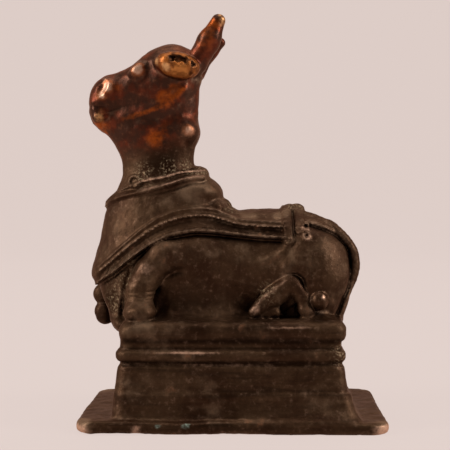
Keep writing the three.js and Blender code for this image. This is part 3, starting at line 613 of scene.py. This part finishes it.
FOOT_FILLET = 1.6
FIGURE_REACH = 9.0  # how far below the plinth's top the bull still matters, and above it the plinth
FAR_AWAY = 50.0
wobble_x, wobble_y, wobble_z = (waves(seed, 26) for seed in (1, 2, 3))
ripple = waves(4, 4.5)
grain = waves(5, 1.7, 14)
crust = waves(6, 2.2, 26, 0.3)
SIDE_WOBBLE, RISE_WOBBLE = 0.28, 0.18  # how far handwork strays, in millimetres
RIPPLE_HEIGHT, GRAIN_HEIGHT, CRUST_HEIGHT = 0.08, 0.04, 0.13
CRUSTED = [  # where dirt and rough casting cake the surface: places in shares, radius
    ((-37, 6, 13), 7),
    ((-38, 8, 5), 6),
    ((-36, 12, 12), 8),
    ((-32, 15, 17), 5),
    ((-29, 9, 46.5), 6),
    ((-21, 9, 48.5), 5),
    ((-14, 6, 49), 5),
    ((-10, 4, 46.5), 5),
    ((-2, 3, 35), 6),
    ((25, 17, 15), 4),
    ((11, 18, 8), 6),
    ((20, 3, 36), 6),
    ((34.5, 25, -10), 6),
]
POLISHED = [  # what hands have rubbed smooth: places in shares, radius, strength
    ((27.4, 20, 6.7), 5, 0.5),
    ((-7, 5, 94), 9, 0.2),
    ((-17, 12, 79), 7, 0.1),
    ((28, 14, 21), 8, 0.4),
    ((0, 31, -32), 26, 0.4),
    ((-28, 18, 17), 6, 0.3),
]


def spot(centre, radius, x, y, z):
    """One at the centre of a spot, falling to nothing at its rim."""
    gap = np.sqrt((x - centre[0]) ** 2 + (y - centre[1]) ** 2 + (z - centre[2]) ** 2)
    return fade(0.15 * radius, radius, gap)


def crusted(x, y, z):
    """How rough the surface is, between 0 and 1, for places in shares."""
    return np.maximum.reduce([spot(centre, radius, x, np.abs(y), z) for centre, radius in CRUSTED])


def strongest(spots, x, y, z):
    return np.maximum.reduce([strength * spot(centre, radius, x, y, z) for centre, radius, strength in spots])


def casting(x, y, z):
    """The distance to the whole casting, in the part's drawn millimetres, with the unevenness of handwork."""
    wax_x = x + SIDE_WOBBLE * wobble_x(x, y, z)
    wax_y = y + SIDE_WOBBLE * wobble_y(x, y, z)
    wax_z = z + RISE_WOBBLE * wobble_z(x, y, z)
    low = z < PLINTH_HEIGHT + FIGURE_REACH
    high = z > PLINTH_HEIGHT - FIGURE_REACH
    base, figure = np.full_like(x, FAR_AWAY), np.full_like(x, FAR_AWAY)
    rough, uneven = np.zeros_like(x), np.ones_like(x)
    base[low] = plinth(wax_x[low], wax_y[low], wax_z[low])
    shares = (wax_x[high] / SHARE, wax_y[high] / SHARE, (wax_z[high] - PLINTH_HEIGHT) / SHARE)
    figure[high] = bull(*shares) * SHARE
    rough[high] = crusted(*shares)
    uneven[high] = 1 - strongest(POLISHED, shares[0], np.abs(shares[1]), shares[2])
    joined = blend(FOOT_FILLET, base, figure)
    skin = uneven * (RIPPLE_HEIGHT * ripple(x, y, z) + GRAIN_HEIGHT * grain(x, y, z))
    return joined - skin - CRUST_HEIGHT * rough * crust(x, y, z)


# The mesh


def in_chunks(distance, points, size=400_000):
    return np.concatenate([distance(*points[i : i + size].T) for i in range(0, len(points), size)])


def surface_of(distance, low, high, cell):
    """Points, triangles and quads where the distance is zero, searched near a coarse first look."""
    counts = np.ceil((high - low) / cell / BLOCK).astype(int) + 1
    coarse_axes = [low[i] + np.arange(counts[i]) * cell * BLOCK for i in range(3)]
    coarse_points = np.stack(np.meshgrid(*coarse_axes, indexing="ij"), -1).reshape(-1, 3)
    coarse = in_chunks(distance, coarse_points).reshape(counts)
    nearest = [(np.arange((count - 1) * BLOCK + 1) + BLOCK // 2) // BLOCK for count in counts]
    field = coarse[np.ix_(*nearest)].astype(np.float32)
    active = np.argwhere(np.abs(field) < NEARBY * BLOCK * cell)
    field[tuple(active.T)] = in_chunks(distance, low + active * cell)
    grid = openvdb.FloatGrid(background=float(field.max()))
    grid.copyFromArray(field)
    points, triangles, quads = grid.convertToPolygons(isovalue=0.0, adaptivity=0.0)
    return low + points * cell, triangles, quads


def casting_mesh():
    margin = 3 * CELL
    reach = BOX_HIGH / DRAWN_MM + margin
    low = np.array((-reach[0], -reach[1], -3.5 * CELL))
    points, triangles, quads = surface_of(casting, low, reach, CELL)
    points[:, 2] = np.where(points[:, 2] < 0, 0, points[:, 2])
    mesh = bpy.data.meshes.new("bull_casting")
    mesh.from_pydata(points * DRAWN_MM, [], quads.tolist() + triangles.tolist())
    mesh.update()
    return mesh


def dressed_piece():
    """The casting as one piece, with fewer triangles where it is flat."""
    rough = bpy.data.objects.new("rough_casting", casting_mesh())
    bpy.context.scene.collection.objects.link(rough)
    fewer = rough.modifiers.new("fewer", "DECIMATE")
    fewer.ratio = MOST_TRIANGLES / (2 * len(rough.data.polygons))
    mesh = bpy.data.meshes.new_from_object(rough.evaluated_get(bpy.context.evaluated_depsgraph_get()))
    bpy.data.objects.remove(rough)
    mesh.name = "bull_on_plinth"
    points = np.empty(3 * len(mesh.vertices))
    mesh.vertices.foreach_get("co", points)
    points = np.clip(points.reshape(-1, 3), BOX_LOW, BOX_HIGH)
    mesh.vertices.foreach_set("co", points.ravel())
    mesh.shade_smooth()
    mesh.update()
    piece = bpy.data.objects.new("bull_on_plinth", mesh)
    bpy.context.scene.collection.objects.link(piece)
    return piece


# What wear and dirt there is at each point of the mesh, and where shade and highlights are painted

BARE_METAL_AND_GLINT_SPOTS = [  # bare metal rubbed by hands, and painted highlights and glints: places in shares, radius, strength
    ((-30.8, 9, 80.4), 3.4, 0.9),
    # The muzzle's metal is rubbed bare, and painted brighter still as its highlight.
    ((-41.2, 7, 75.2), 3.5, 1),
    ((-42.8, 6.5, 72.4), 2.8, 0.9),
    # Painted glints on the buckle's two loops.
    ((23.4, 15, 29.9), 2.6, 0.55),
    ((23.7, 18, 26.9), 2.4, 0.45),
    # A painted highlight on the hock's ball.
    ((28.8, 22, 8.2), 1.8, 0.9),
    ((-43, 6, 66.8), 2, 0.7),
    # The nape lump's metal is rubbed bare, and painted brighter as its highlight.
    ((-14.6, 8, 60.8), 3.2, 0.72),
    ((-21, 8, 92), 8, 0.25),
    # Painted highlights down the near foreleg's front.
    ((-27.2, 20, 16.4), 3.4, 0.42),
    ((-30.2, 20, 12), 3.6, 0.25),
    ((-32.2, 12, 44.4), 3.4, 0.8),
    ((-12.4, 8, 47.6), 3, 0.6),
    # A painted highlight on the hind foot's tip.
    ((7, 22, 4), 2.8, 0.42),
]
GOLD_SPOTS = [
    ((-43.6, 6, 65.2), 3.2, 0.85),
    # The ear's left rim: worn gold, painted brighter as its highlight.
    ((-21.5, 14, 80.6), 3, 0.9),
    ((-24.4, 11.5, 82.6), 2.6, 0.9),
    ((-18, 14, 79), 2.4, 0.5),
    # A painted glint on the ear's right rim.
    ((-12, 13.5, 81.6), 1.8, 0.7),
]
PALE_AND_LIT_SPOTS = [  # where the brown is thin, and painted light on the shoulder, the flank, the slab's top and the foot plate's top
    ((-13, 9, 41), 8, 0.7),
    ((-24, 12, 38), 7, 0.4),
    ((4, 8, 34.5), 6, 0.5),
    ((16, 8, 34.5), 6, 0.5),
    ((-15, 8, 60.4), 5, 0.5),
    ((-7, 17, 23.5), 8, 0.35),
    # Painted light on the shoulder and the flank.
    ((-17.5, 16, 25.4), 5, 0.4),
    ((6, 17, 23), 8, 0.4),
    ((20, 18, 22), 7, 0.3),
    # Painted light on the slab's top, and a painted sheen on the foot plate's top.
    ((-28, 26, -2.4), 8, 0.45),
    ((-19, 26, -2.6), 7, 0.2),
    ((-48, 30, -29.6), 7, 1.1),
    ((50, 30, -29.6), 8, 1.1),
    ((-18, 26, -9), 9, 0.3),
    ((-30, 28, -20), 10, 0.25),
    ((28, 28, -26), 12, 0.3),
    ((-4, 28, -25), 12, 0.3),
    ((-20, 8, 92), 9, 0.4),
]
EMBER_SPOTS = [  # where the lacquer glows orange
    ((-22, 8, 71), 5.4, 0.8),
    ((-19, 8, 75), 4.4, 0.6),
    ((-25.4, 8, 58), 5, 0.7),
    ((-22, 8, 61), 4.6, 0.4),
    ((-9.6, 6, 90), 5, 0.6),
    ((-8.4, 6, 92.4), 5, 1),
    ((-7.5, 6, 95.5), 5, 0.8),
    ((-43.5, 4, 62), 5, 0.8),
    ((-43.6, 6, 65.2), 3.6, 0.4),
    ((-17, 14, 78), 5, 1),
    ((-37, 6, 76), 4, 0.4),
    ((-8, 20, 11), 5, 0.12),
]
SHANK_RIDGE = Line((5.5, 3.4), (9, 6.8), (12.5, 10), (16.5, 12.6))
# Darker patina in places, and painted shade under the elbow and the low belly and beside the feet on the
# plinth's top.
DARK_AND_SHADE_SPOTS = [
    ((-2, 17, 29.4), 8, 1),
    ((6, 17, 29.2), 8, 1.1),
    ((14, 17, 29), 8, 1),
    ((19.5, 9, 33), 5, 0.7),
    ((37, 7, 22), 7, 0.4),
    ((37, 7, 10), 8, 0.4),
    # Painted shade under the elbow and the low belly.
    ((-12, 24, 3), 15, 0.75),
    ((4, 24, 2), 12, 0.9),
    ((-23, 9, 51), 9, 0.8),
    ((-42, 9, 6), 7, 0.6),
    # Painted shade beside the feet on the plinth's top.
    ((10, 24, 0), 6, 1),
    ((28, 22, 0), 6, 1),
    ((-29, 25, 0), 5, 1),
]
VERDIGRIS_SPOTS = [((-14.3, -32, -30.8), 1.2, 1), ((-23, -32, -31), 0.9, 0.7), ((-33, 10, 12), 3.5, 0.4)]

# The wear and painted glints along the plinth's front, and the painted shade in its grooves, in millimetres.
FRONT = -12  # what lies further towards -Y is on the front
RUBBED_EDGES = [(-34, 4, 0.65), (-21.3, 1.8, 0.5), (34, 4.6, 0.8)]  # on the foot: middle, reach, strength
# Along the slab's top edge, the bead and the die's top: rubbed metal, painted brighter as lines of glints.
WORN_AND_GLINTING_COURSES = [  # height, middle, reach, strength
    (PLINTH_HEIGHT - 0.9, 13, 9, 0.5),
    (17.7, -10, 12, 0.6),
    (DIE_TOP, -3, 16, 0.35),
]
# Painted shade: dark lines along the grooves under the slab, above and below the bead and at the skirt's top,
# and a dark band along the foot plate's edge.
SHADED_COURSES = [  # height, half width, strength
    (20.2, 1.3, 1.2),
    (18.6, 0.7, 1),
    (15.3, 0.9, 1.2),
    (SKIRT_TOP, 0.5, 0.4),
    (1.2, 1.4, 0.5),
]
OPEN_GAP, INNER_GAP = 1.1, 0.8  # how far out and in the mesh is probed for grooves and ridges


def garland_darkening_and_glints(sx, sz):
    """How much darker the garland is between its lower strands, more so towards the saddle, and the painted
    glints on its beads.
    """
    top, bottom = garland_top(sx, sz), garland_bottom(sx, sz)
    across = top / np.maximum(top - bottom, 0.5)
    in_ropes = smoothstep(0.38, 0.48, across) * fade(1, 1.1, across) * fade(15, 17, sx)
    rope_darkening = in_ropes * mix(0.35, 1.2, smoothstep(-12, -2, sx))
    beads = swell(TURN * garland_top.length(sx, sz) / BEAD_PITCH)
    # Painted glints on the crests of the beaded strand.
    bead_glints = welt(across - BEADED_STRAND, 0.08, 0.3) * beads * smoothstep(-40, -32, sx) * fade(14, 16, sx)
    return rope_darkening, bead_glints


def plinth_wear_and_shade(x, y, z):
    """The metal bared along the plinth's front with painted glints along its courses, and the painted shade
    in its grooves.
    """
    foot_rim = slab(x, y, 0 * z, FOOT_LENGTH / 2, FOOT_WIDTH / 2, -9, 9, FOOT_CORNER_RADIUS, 0.5)
    foot_edge = fade(1.5, 2.5, z) * smoothstep(-1.1, -0.4, foot_rim) * (y < FRONT)
    spans = np.maximum.reduce([power * welt(x - at, reach, 1) for at, reach, power in RUBBED_EDGES])
    worn_and_glinting_courses = sum(
        power * welt(z - height, 0.45, 1) * welt(x - at, reach, 1) * (y < FRONT)
        for height, at, reach, power in WORN_AND_GLINTING_COURSES
    )
    course_shade = np.maximum.reduce([welt(z - height, width, power) for height, width, power in SHADED_COURSES])
    return np.maximum(foot_edge * spans, worn_and_glinting_courses), course_shade


def shading_masks(points, normals):
    """Each mask is a number for each point, from 0 where there is none to about 1 at its strongest."""
    x, y, z = points.T
    outside = in_chunks(casting, points + OPEN_GAP * normals)
    inside = in_chunks(casting, points - INNER_GAP * normals)
    sx, sy, sz = x / SHARE, y / SHARE, (z - PLINTH_HEIGHT) / SHARE
    out = np.abs(sy)
    from_ear = np.maximum(ear(sx, out, sz), 0)
    ear_face = smoothstep(9.8, 11.8, out + 0.25 * (sx + 17) + 0.3 * np.maximum(81 - sz, 0))
    tip = smoothstep(HORN_TIP - 7, HORN_TIP - 2, sz) * smoothstep(-6.5, -4, sx)
    along_shank, along_jaw = SHANK_RIDGE.length(sx, sz), jaw_line.length(sx, sz)
    # Painted highlight along the upper edge of the near hind shank.
    shank_highlight = welt(SHANK_RIDGE(sx, sz), 0.8, 0.24) * smoothstep(15, 17, out)
    shank_highlight = shank_highlight * smoothstep(0, 1, along_shank)
    worn_collar = np.maximum(welt(neck_ring(sx, sz), 0.7, 0.5), welt(collar(sx, sz) + 0.3, 0.6, 0.45))
    worn_collar = worn_collar * smoothstep(-33, -28, sx) * fade(-10, -8, sx)
    # Orange lacquer along the jaw's ridge, painted brighter as the ridge's highlight.
    jaw_lacquer_and_highlight = welt(jaw_line(sx, sz), 2, 0.75) * smoothstep(3, 5, out) * smoothstep(0, 4, along_jaw)
    on_belly = smoothstep(-26, -18, sx) * fade(2, 8, sx) * fade(6, 12, sz)
    under_eye = spot((-35, 8, 77.5), 5, sx, out, sz)
    unworn = np.maximum.reduce([welt(sz, 4, 0.8), 0.95 * on_belly, 0.9 * under_eye])
    rope_darkening, bead_glints = garland_darkening_and_glints(sx, sz)
    plinth_wear_and_glints, shaded_courses = plinth_wear_and_shade(x, y, z)
    worn_and_glints = [plinth_wear_and_glints, shank_highlight, bead_glints, worn_collar]
    return {
        # The recess mask is where shade is painted into grooves and hollows, with less of it around the ear.
        "recess": np.clip(1 - outside / OPEN_GAP, 0, 1) * (1 - 0.7 * fade(1, 3, from_ear)),
        "pit": fade(-0.3, 1.1, pitted(sx, out, sz)),
        "ridge": np.clip(1 + inside / INNER_GAP, 0, 1) * (1 - unworn),
        "head": smoothstep(51, 60, sz + 0.25 * (-sx - 25)),
        "base": fade(PLINTH_HEIGHT - 1, PLINTH_HEIGHT + 1.5, z),
        "gold": np.maximum(0.66 * tip, strongest(GOLD_SPOTS, sx, out, sz)),
        "amber": ear_face * fade(0.4, 1.4, from_ear),
        # The copper mask: metal rubbed bare, with painted highlights and glints on the shank, the beads, the
        # plinth's courses and some spots.
        "copper": np.maximum.reduce([strongest(BARE_METAL_AND_GLINT_SPOTS, sx, out, sz), *worn_and_glints]),
        # The ember mask: orange lacquer, with the painted highlight along the jaw.
        "ember": np.maximum(strongest(EMBER_SPOTS, sx, out, sz), jaw_lacquer_and_highlight),
        "polish": strongest(POLISHED, sx, out, sz),
        # The dark mask: darker patina, painted shade, the garland's darker strands and the painted shade
        # along the plinth's grooves.
        "dark": np.maximum.reduce([strongest(DARK_AND_SHADE_SPOTS, sx, out, sz), rope_darkening, shaded_courses]),
        "pale": strongest(PALE_AND_LIT_SPOTS, sx, out, sz),
        "verdigris": strongest(VERDIGRIS_SPOTS, sx, sy, sz),
        "crust": crusted(sx, sy, sz),
    }


MASKS = (
    "recess", "pit", "ridge", "head", "base", "gold", "amber", "copper", "ember", "polish", "dark", "pale",
    "verdigris", "crust",
)


def store_masks(piece):
    mesh = piece.data
    count = len(mesh.vertices)
    points, normals = np.empty(3 * count), np.empty(3 * count)
    mesh.vertices.foreach_get("co", points)
    mesh.vertex_normals.foreach_get("vector", normals)
    masks = shading_masks(points.reshape(-1, 3) / DRAWN_MM, normals.reshape(-1, 3))
    for name, values in masks.items():
        attribute = mesh.attributes.new(name, "FLOAT", "POINT")
        attribute.data.foreach_set("value", values.astype(np.float32))


# Material


class Nodes:
    """Short names for the nodes of one material."""

    # A mix node has sockets of its own for numbers and for colours.
    NUMBERS, MIXED_NUMBER = (2, 3), 0
    COLOURS, MIXED_COLOUR = (6, 7), 2

    def __init__(self, material):
        material.use_nodes = True
        self.tree = material.node_tree
        self.shader = self.tree.nodes["Principled BSDF"]
        self.place = self.tree.nodes.new("ShaderNodeTexCoord").outputs["Object"]

    def link(self, value, socket):
        if isinstance(value, bpy.types.NodeSocket):
            self.tree.links.new(value, socket)
        else:
            socket.default_value = value

    def mask(self, name):
        node = self.tree.nodes.new("ShaderNodeAttribute")
        node.attribute_name = name
        return node.outputs["Fac"]

    def noise(self, size, detail=3.0, roughness=0.55, squeeze=(1, 1, 1)):
        """Noise with features of about that size, in metres, longer where the squeeze is less than 1."""
        mapping = self.tree.nodes.new("ShaderNodeMapping")
        self.link(self.place, mapping.inputs["Vector"])
        mapping.inputs["Scale"].default_value = squeeze
        node = self.tree.nodes.new("ShaderNodeTexNoise")
        self.link(mapping.outputs["Vector"], node.inputs["Vector"])
        node.inputs["Scale"].default_value = 1 / size
        node.inputs["Detail"].default_value = detail
        node.inputs["Roughness"].default_value = roughness
        return node.outputs["Fac"]

    def maths(self, operation, a, b=0.0, clamp=False):
        node = self.tree.nodes.new("ShaderNodeMath")
        node.operation = operation
        node.use_clamp = clamp
        self.link(a, node.inputs[0])
        self.link(b, node.inputs[1])
        return node.outputs["Value"]

    def times(self, a, b, clamp=False):
        return self.maths("MULTIPLY", a, b, clamp)

    def plus(self, a, b):
        return self.maths("ADD", a, b)

    def most(self, a, b):
        return self.maths("MAXIMUM", a, b)

    def ramp(self, value, low, high, to_low=0.0, to_high=1.0):
        """Maps a range smoothly onto another."""
        node = self.tree.nodes.new("ShaderNodeMapRange")
        node.interpolation_type = "SMOOTHSTEP"
        for socket, number in zip(node.inputs[:5], (value, low, high, to_low, to_high)):
            self.link(number, socket)
        return node.outputs["Result"]

    def colour(self, amount, a, b):
        node = self.tree.nodes.new("ShaderNodeMix")
        node.data_type = "RGBA"
        self.link(amount, node.inputs["Factor"])
        for socket, value in zip(self.COLOURS, (a, b)):
            self.link(value if isinstance(value, bpy.types.NodeSocket) else (*value, 1), node.inputs[socket])
        return node.outputs[self.MIXED_COLOUR]

    def number(self, amount, a, b):
        node = self.tree.nodes.new("ShaderNodeMix")
        self.link(amount, node.inputs["Factor"])
        for socket, value in zip(self.NUMBERS, (a, b)):
            self.link(value, node.inputs[socket])
        return node.outputs[self.MIXED_NUMBER]


# The colours of the bronze's skin, and of the shade and highlights painted onto it.
BROWN = (0.028, 0.0112, 0.0048)
WARM_BROWN = (0.052, 0.026, 0.0125)
LIGHT_BLOTCH = (0.095, 0.056, 0.032)
DARK_BLOTCH = (0.022, 0.0075, 0.003)
LIGHT_STREAK = (0.09, 0.05, 0.027)
DARK_STREAK = (0.012, 0.0055, 0.0027)
LIGHT_FLECK = (0.12, 0.07, 0.040)
DARK_FLECK = (0.014, 0.006, 0.003)
SHADED_BROWN = (0.010, 0.0042, 0.0018)
PALE_BROWN = (0.165, 0.10, 0.06)
DULL_RED = (0.040, 0.015, 0.009)
CLEAR_RED = (0.12, 0.017, 0.005)
RED_FLECK = (0.15, 0.055, 0.03)
EMBER = (0.36, 0.07, 0.008)
GROOVE_SHADE = (0.005, 0.0022, 0.0012)
PIT_SHADE = (0.008, 0.004, 0.003)
WORN_RIDGE = (0.18, 0.11, 0.07)
DUST = (0.34, 0.25, 0.15)
VERDIGRIS = (0.25, 0.33, 0.27)
COPPER = (0.60, 0.35, 0.235)
COPPER_UNDER_RED = (0.42, 0.13, 0.045)
GOLD = (0.60, 0.31, 0.13)
DEEP_GOLD = (0.34, 0.105, 0.02)
STAINED_GOLD = (0.16, 0.055, 0.014)
DARK_AMBER = (0.085, 0.024, 0.007)
AMBER = (0.34, 0.105, 0.022)
GLOWING_AMBER = (0.50, 0.185, 0.045)
WARM_SHEEN = (0.90, 0.56, 0.40)
BUMP_HEIGHT = 0.0002

BROAD, BLOTCH, FINE, STREAK, SPECK = 0.012, 0.004, 0.0011, 0.0013, 0.0005  # noises' sizes, in metres
PLAIN_ROUGHNESS = (0.46, 0.55)
LACQUER_ROUGHNESS, DUST_ROUGHNESS, BARE_ROUGHNESS, POLISHED_ROUGHNESS = 0.3, 0.75, 0.42, 0.16


def bronze_material():
    """Brown bronze, lacquered red on the head, rubbed bare where it stands out, dusty where it is rough, with
    painted shade in its hollows and painted highlights in places.
    """
    material = bpy.data.materials.new("patinated_bronze")
    n = Nodes(material)
    broad, blotch = n.noise(BROAD), n.noise(BLOTCH, 4)
    fine, speck = n.noise(FINE, 4, 0.6), n.noise(SPECK, 2)
    down = n.noise(FINE, 3, squeeze=(1, 1, 0.12))
    along = n.noise(STREAK, 3, squeeze=(0.1, 0.3, 1))
    mask = {name: n.mask(name) for name in MASKS}
    recess, ember, on_head, on_base = (mask[name] for name in ("recess", "ember", "head", "base"))
    uneven = n.times(n.maths("SUBTRACT", fine, 0.5), 0.9)
    patchy = n.times(n.maths("SUBTRACT", blotch, 0.5), 1.6)
    streaks = n.number(on_base, n.plus(n.times(down, 0.5), 0.25), along)
    off_base = n.ramp(on_base, 0, 1, 1, 0.3)
    shaded = n.times(n.most(mask["dark"], n.times(on_base, 0.15)), 0.8, clamp=True)
    glowing = n.times(n.ramp(n.plus(ember, patchy), 0.2, 1), n.ramp(fine, 0.3, 0.6, 0.3, 1))
    worn_ridge = n.times(n.ramp(mask["ridge"], 0.1, 0.55), n.ramp(fine, 0.35, 0.65, 0.1, 0.6), clamp=True)
    dusty = n.times(mask["crust"], n.ramp(speck, 0.5, 0.66), clamp=True)
    dusty = n.times(dusty, n.ramp(fine, 0.4, 0.6, 0.3, 1))
    open_face = n.ramp(recess, 0.2, 0.6, 1, 0.35)
    coppery = n.times(n.ramp(n.plus(mask["copper"], uneven), 0, 1.1), open_face, clamp=True)
    golden = n.times(n.ramp(n.plus(mask["gold"], uneven), 0.3, 1), open_face, clamp=True)

    red = n.colour(n.ramp(blotch, 0.4, 0.75), DULL_RED, CLEAR_RED)
    red = n.colour(n.ramp(fine, 0.5, 0.8, 0, 0.35), red, RED_FLECK)
    copper = n.colour(n.times(on_head, n.ramp(coppery, 0.9, 0.3)), COPPER, COPPER_UNDER_RED)
    # The gold is darker in recesses, which is painted shade, and deeper where the lacquer is orange.
    deep = n.most(n.ramp(n.plus(recess, uneven), 0, 0.35), n.ramp(ember, 0.1, 0.8))
    gold = n.colour(deep, GOLD, DEEP_GOLD)
    gold = n.colour(n.ramp(uneven, 0.04, -0.1, 0, 0.6), gold, STAINED_GOLD)
    amber = n.colour(n.ramp(n.plus(fine, patchy), 0.2, 0.8), DARK_AMBER, AMBER)
    amber = n.colour(n.ramp(n.plus(ember, uneven), 0.1, 0.7, 0, 0.8), amber, GLOWING_AMBER)

    skin = n.colour(n.ramp(broad, 0.35, 0.65), BROWN, WARM_BROWN)
    layers = [
        (n.times(n.ramp(blotch, 0.5, 0.75, 0, 0.45), off_base), LIGHT_BLOTCH),
        (n.ramp(blotch, 0.45, 0.3, 0, 0.45), DARK_BLOTCH),
        (n.ramp(streaks, 0.5, 0.7, 0, 0.3), LIGHT_STREAK),
        (n.ramp(streaks, 0.5, 0.3, 0, 0.5), DARK_STREAK),
        (n.times(n.ramp(fine, 0.52, 0.75, 0, 0.14), off_base), LIGHT_FLECK),
        (n.ramp(fine, 0.48, 0.3, 0, 0.35), DARK_FLECK),
        (shaded, SHADED_BROWN),
        (n.times(on_head, n.ramp(broad, 0.2, 0.5, 0.6, 1)), red),
        # Paler brown where the patina is thin, and painted light where the pale mask marks lit places.
        (n.ramp(n.plus(mask["pale"], patchy), 0.1, 0.9, 0, 0.8), PALE_BROWN),
        (glowing, EMBER),
        # Painted shade: darker in grooves and hollows, as far as the recess mask finds them.
        (n.ramp(recess, 0.35, 0.85, 0, 0.8), GROOVE_SHADE),
        (worn_ridge, WORN_RIDGE),
        (n.times(dusty, 0.75), DUST),
        (n.times(mask["verdigris"], n.ramp(fine, 0.4, 0.6, 0.2, 1)), VERDIGRIS),
        (coppery, copper),
        (n.times(mask["amber"], n.ramp(recess, 0.3, 0.8, 1, 0.3)), amber),
        (golden, gold),
        # Painted shade in and around the ear's pits.
        (n.times(mask["pit"], n.ramp(fine, 0.3, 0.5, 0.6, 1)), PIT_SHADE),
    ]
    for amount, colour in layers:
        skin = n.colour(amount, skin, colour)
    n.link(skin, n.shader.inputs["Base Color"])

    bare = n.most(n.most(golden, coppery), n.times(mask["amber"], 0.6))
    n.link(n.number(bare, 0.65, 0.6), n.shader.inputs["Metallic"])
    roughness = n.ramp(blotch, 0.3, 0.7, *PLAIN_ROUGHNESS)
    roughness = n.number(n.times(on_head, 0.6), roughness, LACQUER_ROUGHNESS)
    roughness = n.number(dusty, roughness, DUST_ROUGHNESS)
    roughness = n.number(bare, roughness, BARE_ROUGHNESS)
    n.link(n.number(mask["polish"], roughness, POLISHED_ROUGHNESS), n.shader.inputs["Roughness"])
    n.shader.inputs["Specular Tint"].default_value = (*WARM_SHEEN, 1)
    n.link(n.number(shaded, 0.3, 0.1), n.shader.inputs["Specular IOR Level"])

    bump = n.tree.nodes.new("ShaderNodeBump")
    bump.inputs["Distance"].default_value = BUMP_HEIGHT
    smooth = n.most(mask["polish"], n.times(on_head, 0.5))
    n.link(n.ramp(smooth, 0, 1, 0.5, 0.05), bump.inputs["Strength"])
    n.link(n.plus(fine, n.times(speck, 0.5)), bump.inputs["Height"])
    n.link(bump.outputs["Normal"], n.shader.inputs["Normal"])
    return material


# Stage, lights and camera

CAMERA_PLACE = (0.0028, -0.278, 0.05345)
CAMERA_YAW = 0.985  # degrees to the left of +Y
CAMERA_PITCH = 1.576  # degrees down
FIELD_OF_VIEW = 21.9
LIT_PLACE = (0, 0, 0.05)
LIGHTS = [  # name, place, power, width, height, colour
    ("left", (-0.62, -0.2, 0.36), 5.4, 0.2, 0.5, (1, 0.97, 0.94)),
    ("right", (0.62, -0.14, 0.36), 4.4, 0.16, 0.5, (1, 0.98, 0.96)),
    ("top", (0, 0.05, 0.95), 5, 0.8, 0.8, (1, 0.98, 0.96)),
]
ROOM_COLOUR, ROOM_STRENGTH = (0.80, 0.74, 0.70), 0.16
PAPER_COLOUR = (0.03, 0.026, 0.024)
PAPER_GLOW, GLOW_STRENGTH = (0.76, 0.64, 0.60), 0.92


def add_camera():
    data = bpy.data.cameras.new("camera")
    data.sensor_width = 36
    data.lens = data.sensor_width / 2 / math.tan(math.radians(FIELD_OF_VIEW / 2))
    data.clip_start = 0.01
    camera = bpy.data.objects.new("camera", data)
    camera.location = CAMERA_PLACE
    camera.rotation_euler = (math.radians(90 - CAMERA_PITCH), 0, math.radians(CAMERA_YAW))
    bpy.context.scene.collection.objects.link(camera)
    bpy.context.scene.camera = camera


def add_stage():
    """A pale floor that curves up into the backdrop."""
    radius, flat, tall, half_width, steps = 0.5, 0.6, 1.6, 2.0, 24
    front, below_part = -1.5, 0.00005
    bend = [math.pi / 2 * i / steps for i in range(steps + 1)]
    profile = [(front, 0.0)] + [(flat + radius * math.sin(a), radius * (1 - math.cos(a))) for a in bend]
    profile.append((flat + radius, tall))
    points = [(x, y, z - below_part) for y, z in profile for x in (-half_width, half_width)]
    faces = [(2 * i, 2 * i + 1, 2 * i + 3, 2 * i + 2) for i in range(len(profile) - 1)]
    mesh = bpy.data.meshes.new("stage")
    mesh.from_pydata(points, [], faces)
    mesh.shade_smooth()
    material = bpy.data.materials.new("pale_paper")
    n = Nodes(material)
    n.shader.inputs["Base Color"].default_value = (*PAPER_COLOUR, 1)
    n.shader.inputs["Emission Color"].default_value = (*PAPER_GLOW, 1)
    n.shader.inputs["Emission Strength"].default_value = GLOW_STRENGTH
    n.shader.inputs["Roughness"].default_value = 0.9
    n.shader.inputs["Specular IOR Level"].default_value = 0.1
    mesh.materials.append(material)
    stage = bpy.data.objects.new("stage", mesh)
    bpy.context.scene.collection.objects.link(stage)


def add_area_light(name, place, power, width, height, colour):
    data = bpy.data.lights.new(name, "AREA")
    data.shape = "RECTANGLE"
    data.energy = power
    data.size = width
    data.size_y = height
    data.color = colour
    light = bpy.data.objects.new(name, data)
    light.location = place
    light.rotation_euler = (Vector(LIT_PLACE) - Vector(place)).to_track_quat("-Z", "Y").to_euler()
    bpy.context.scene.collection.objects.link(light)


def add_lights():
    for light in LIGHTS:
        add_area_light(*light)
    world = bpy.data.worlds.new("studio")
    world.use_nodes = True
    world.node_tree.nodes["Background"].inputs["Color"].default_value = (*ROOM_COLOUR, 1)
    world.node_tree.nodes["Background"].inputs["Strength"].default_value = ROOM_STRENGTH
    bpy.context.scene.world = world
    bpy.context.scene.view_settings.view_transform = "Standard"


add_camera()
add_stage()
add_lights()

bull_piece = dressed_piece()
store_masks(bull_piece)
bull_piece.data.materials.append(bronze_material())
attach(bull_piece, "root")
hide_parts(NODE)

bpy.context.view_layer.update()
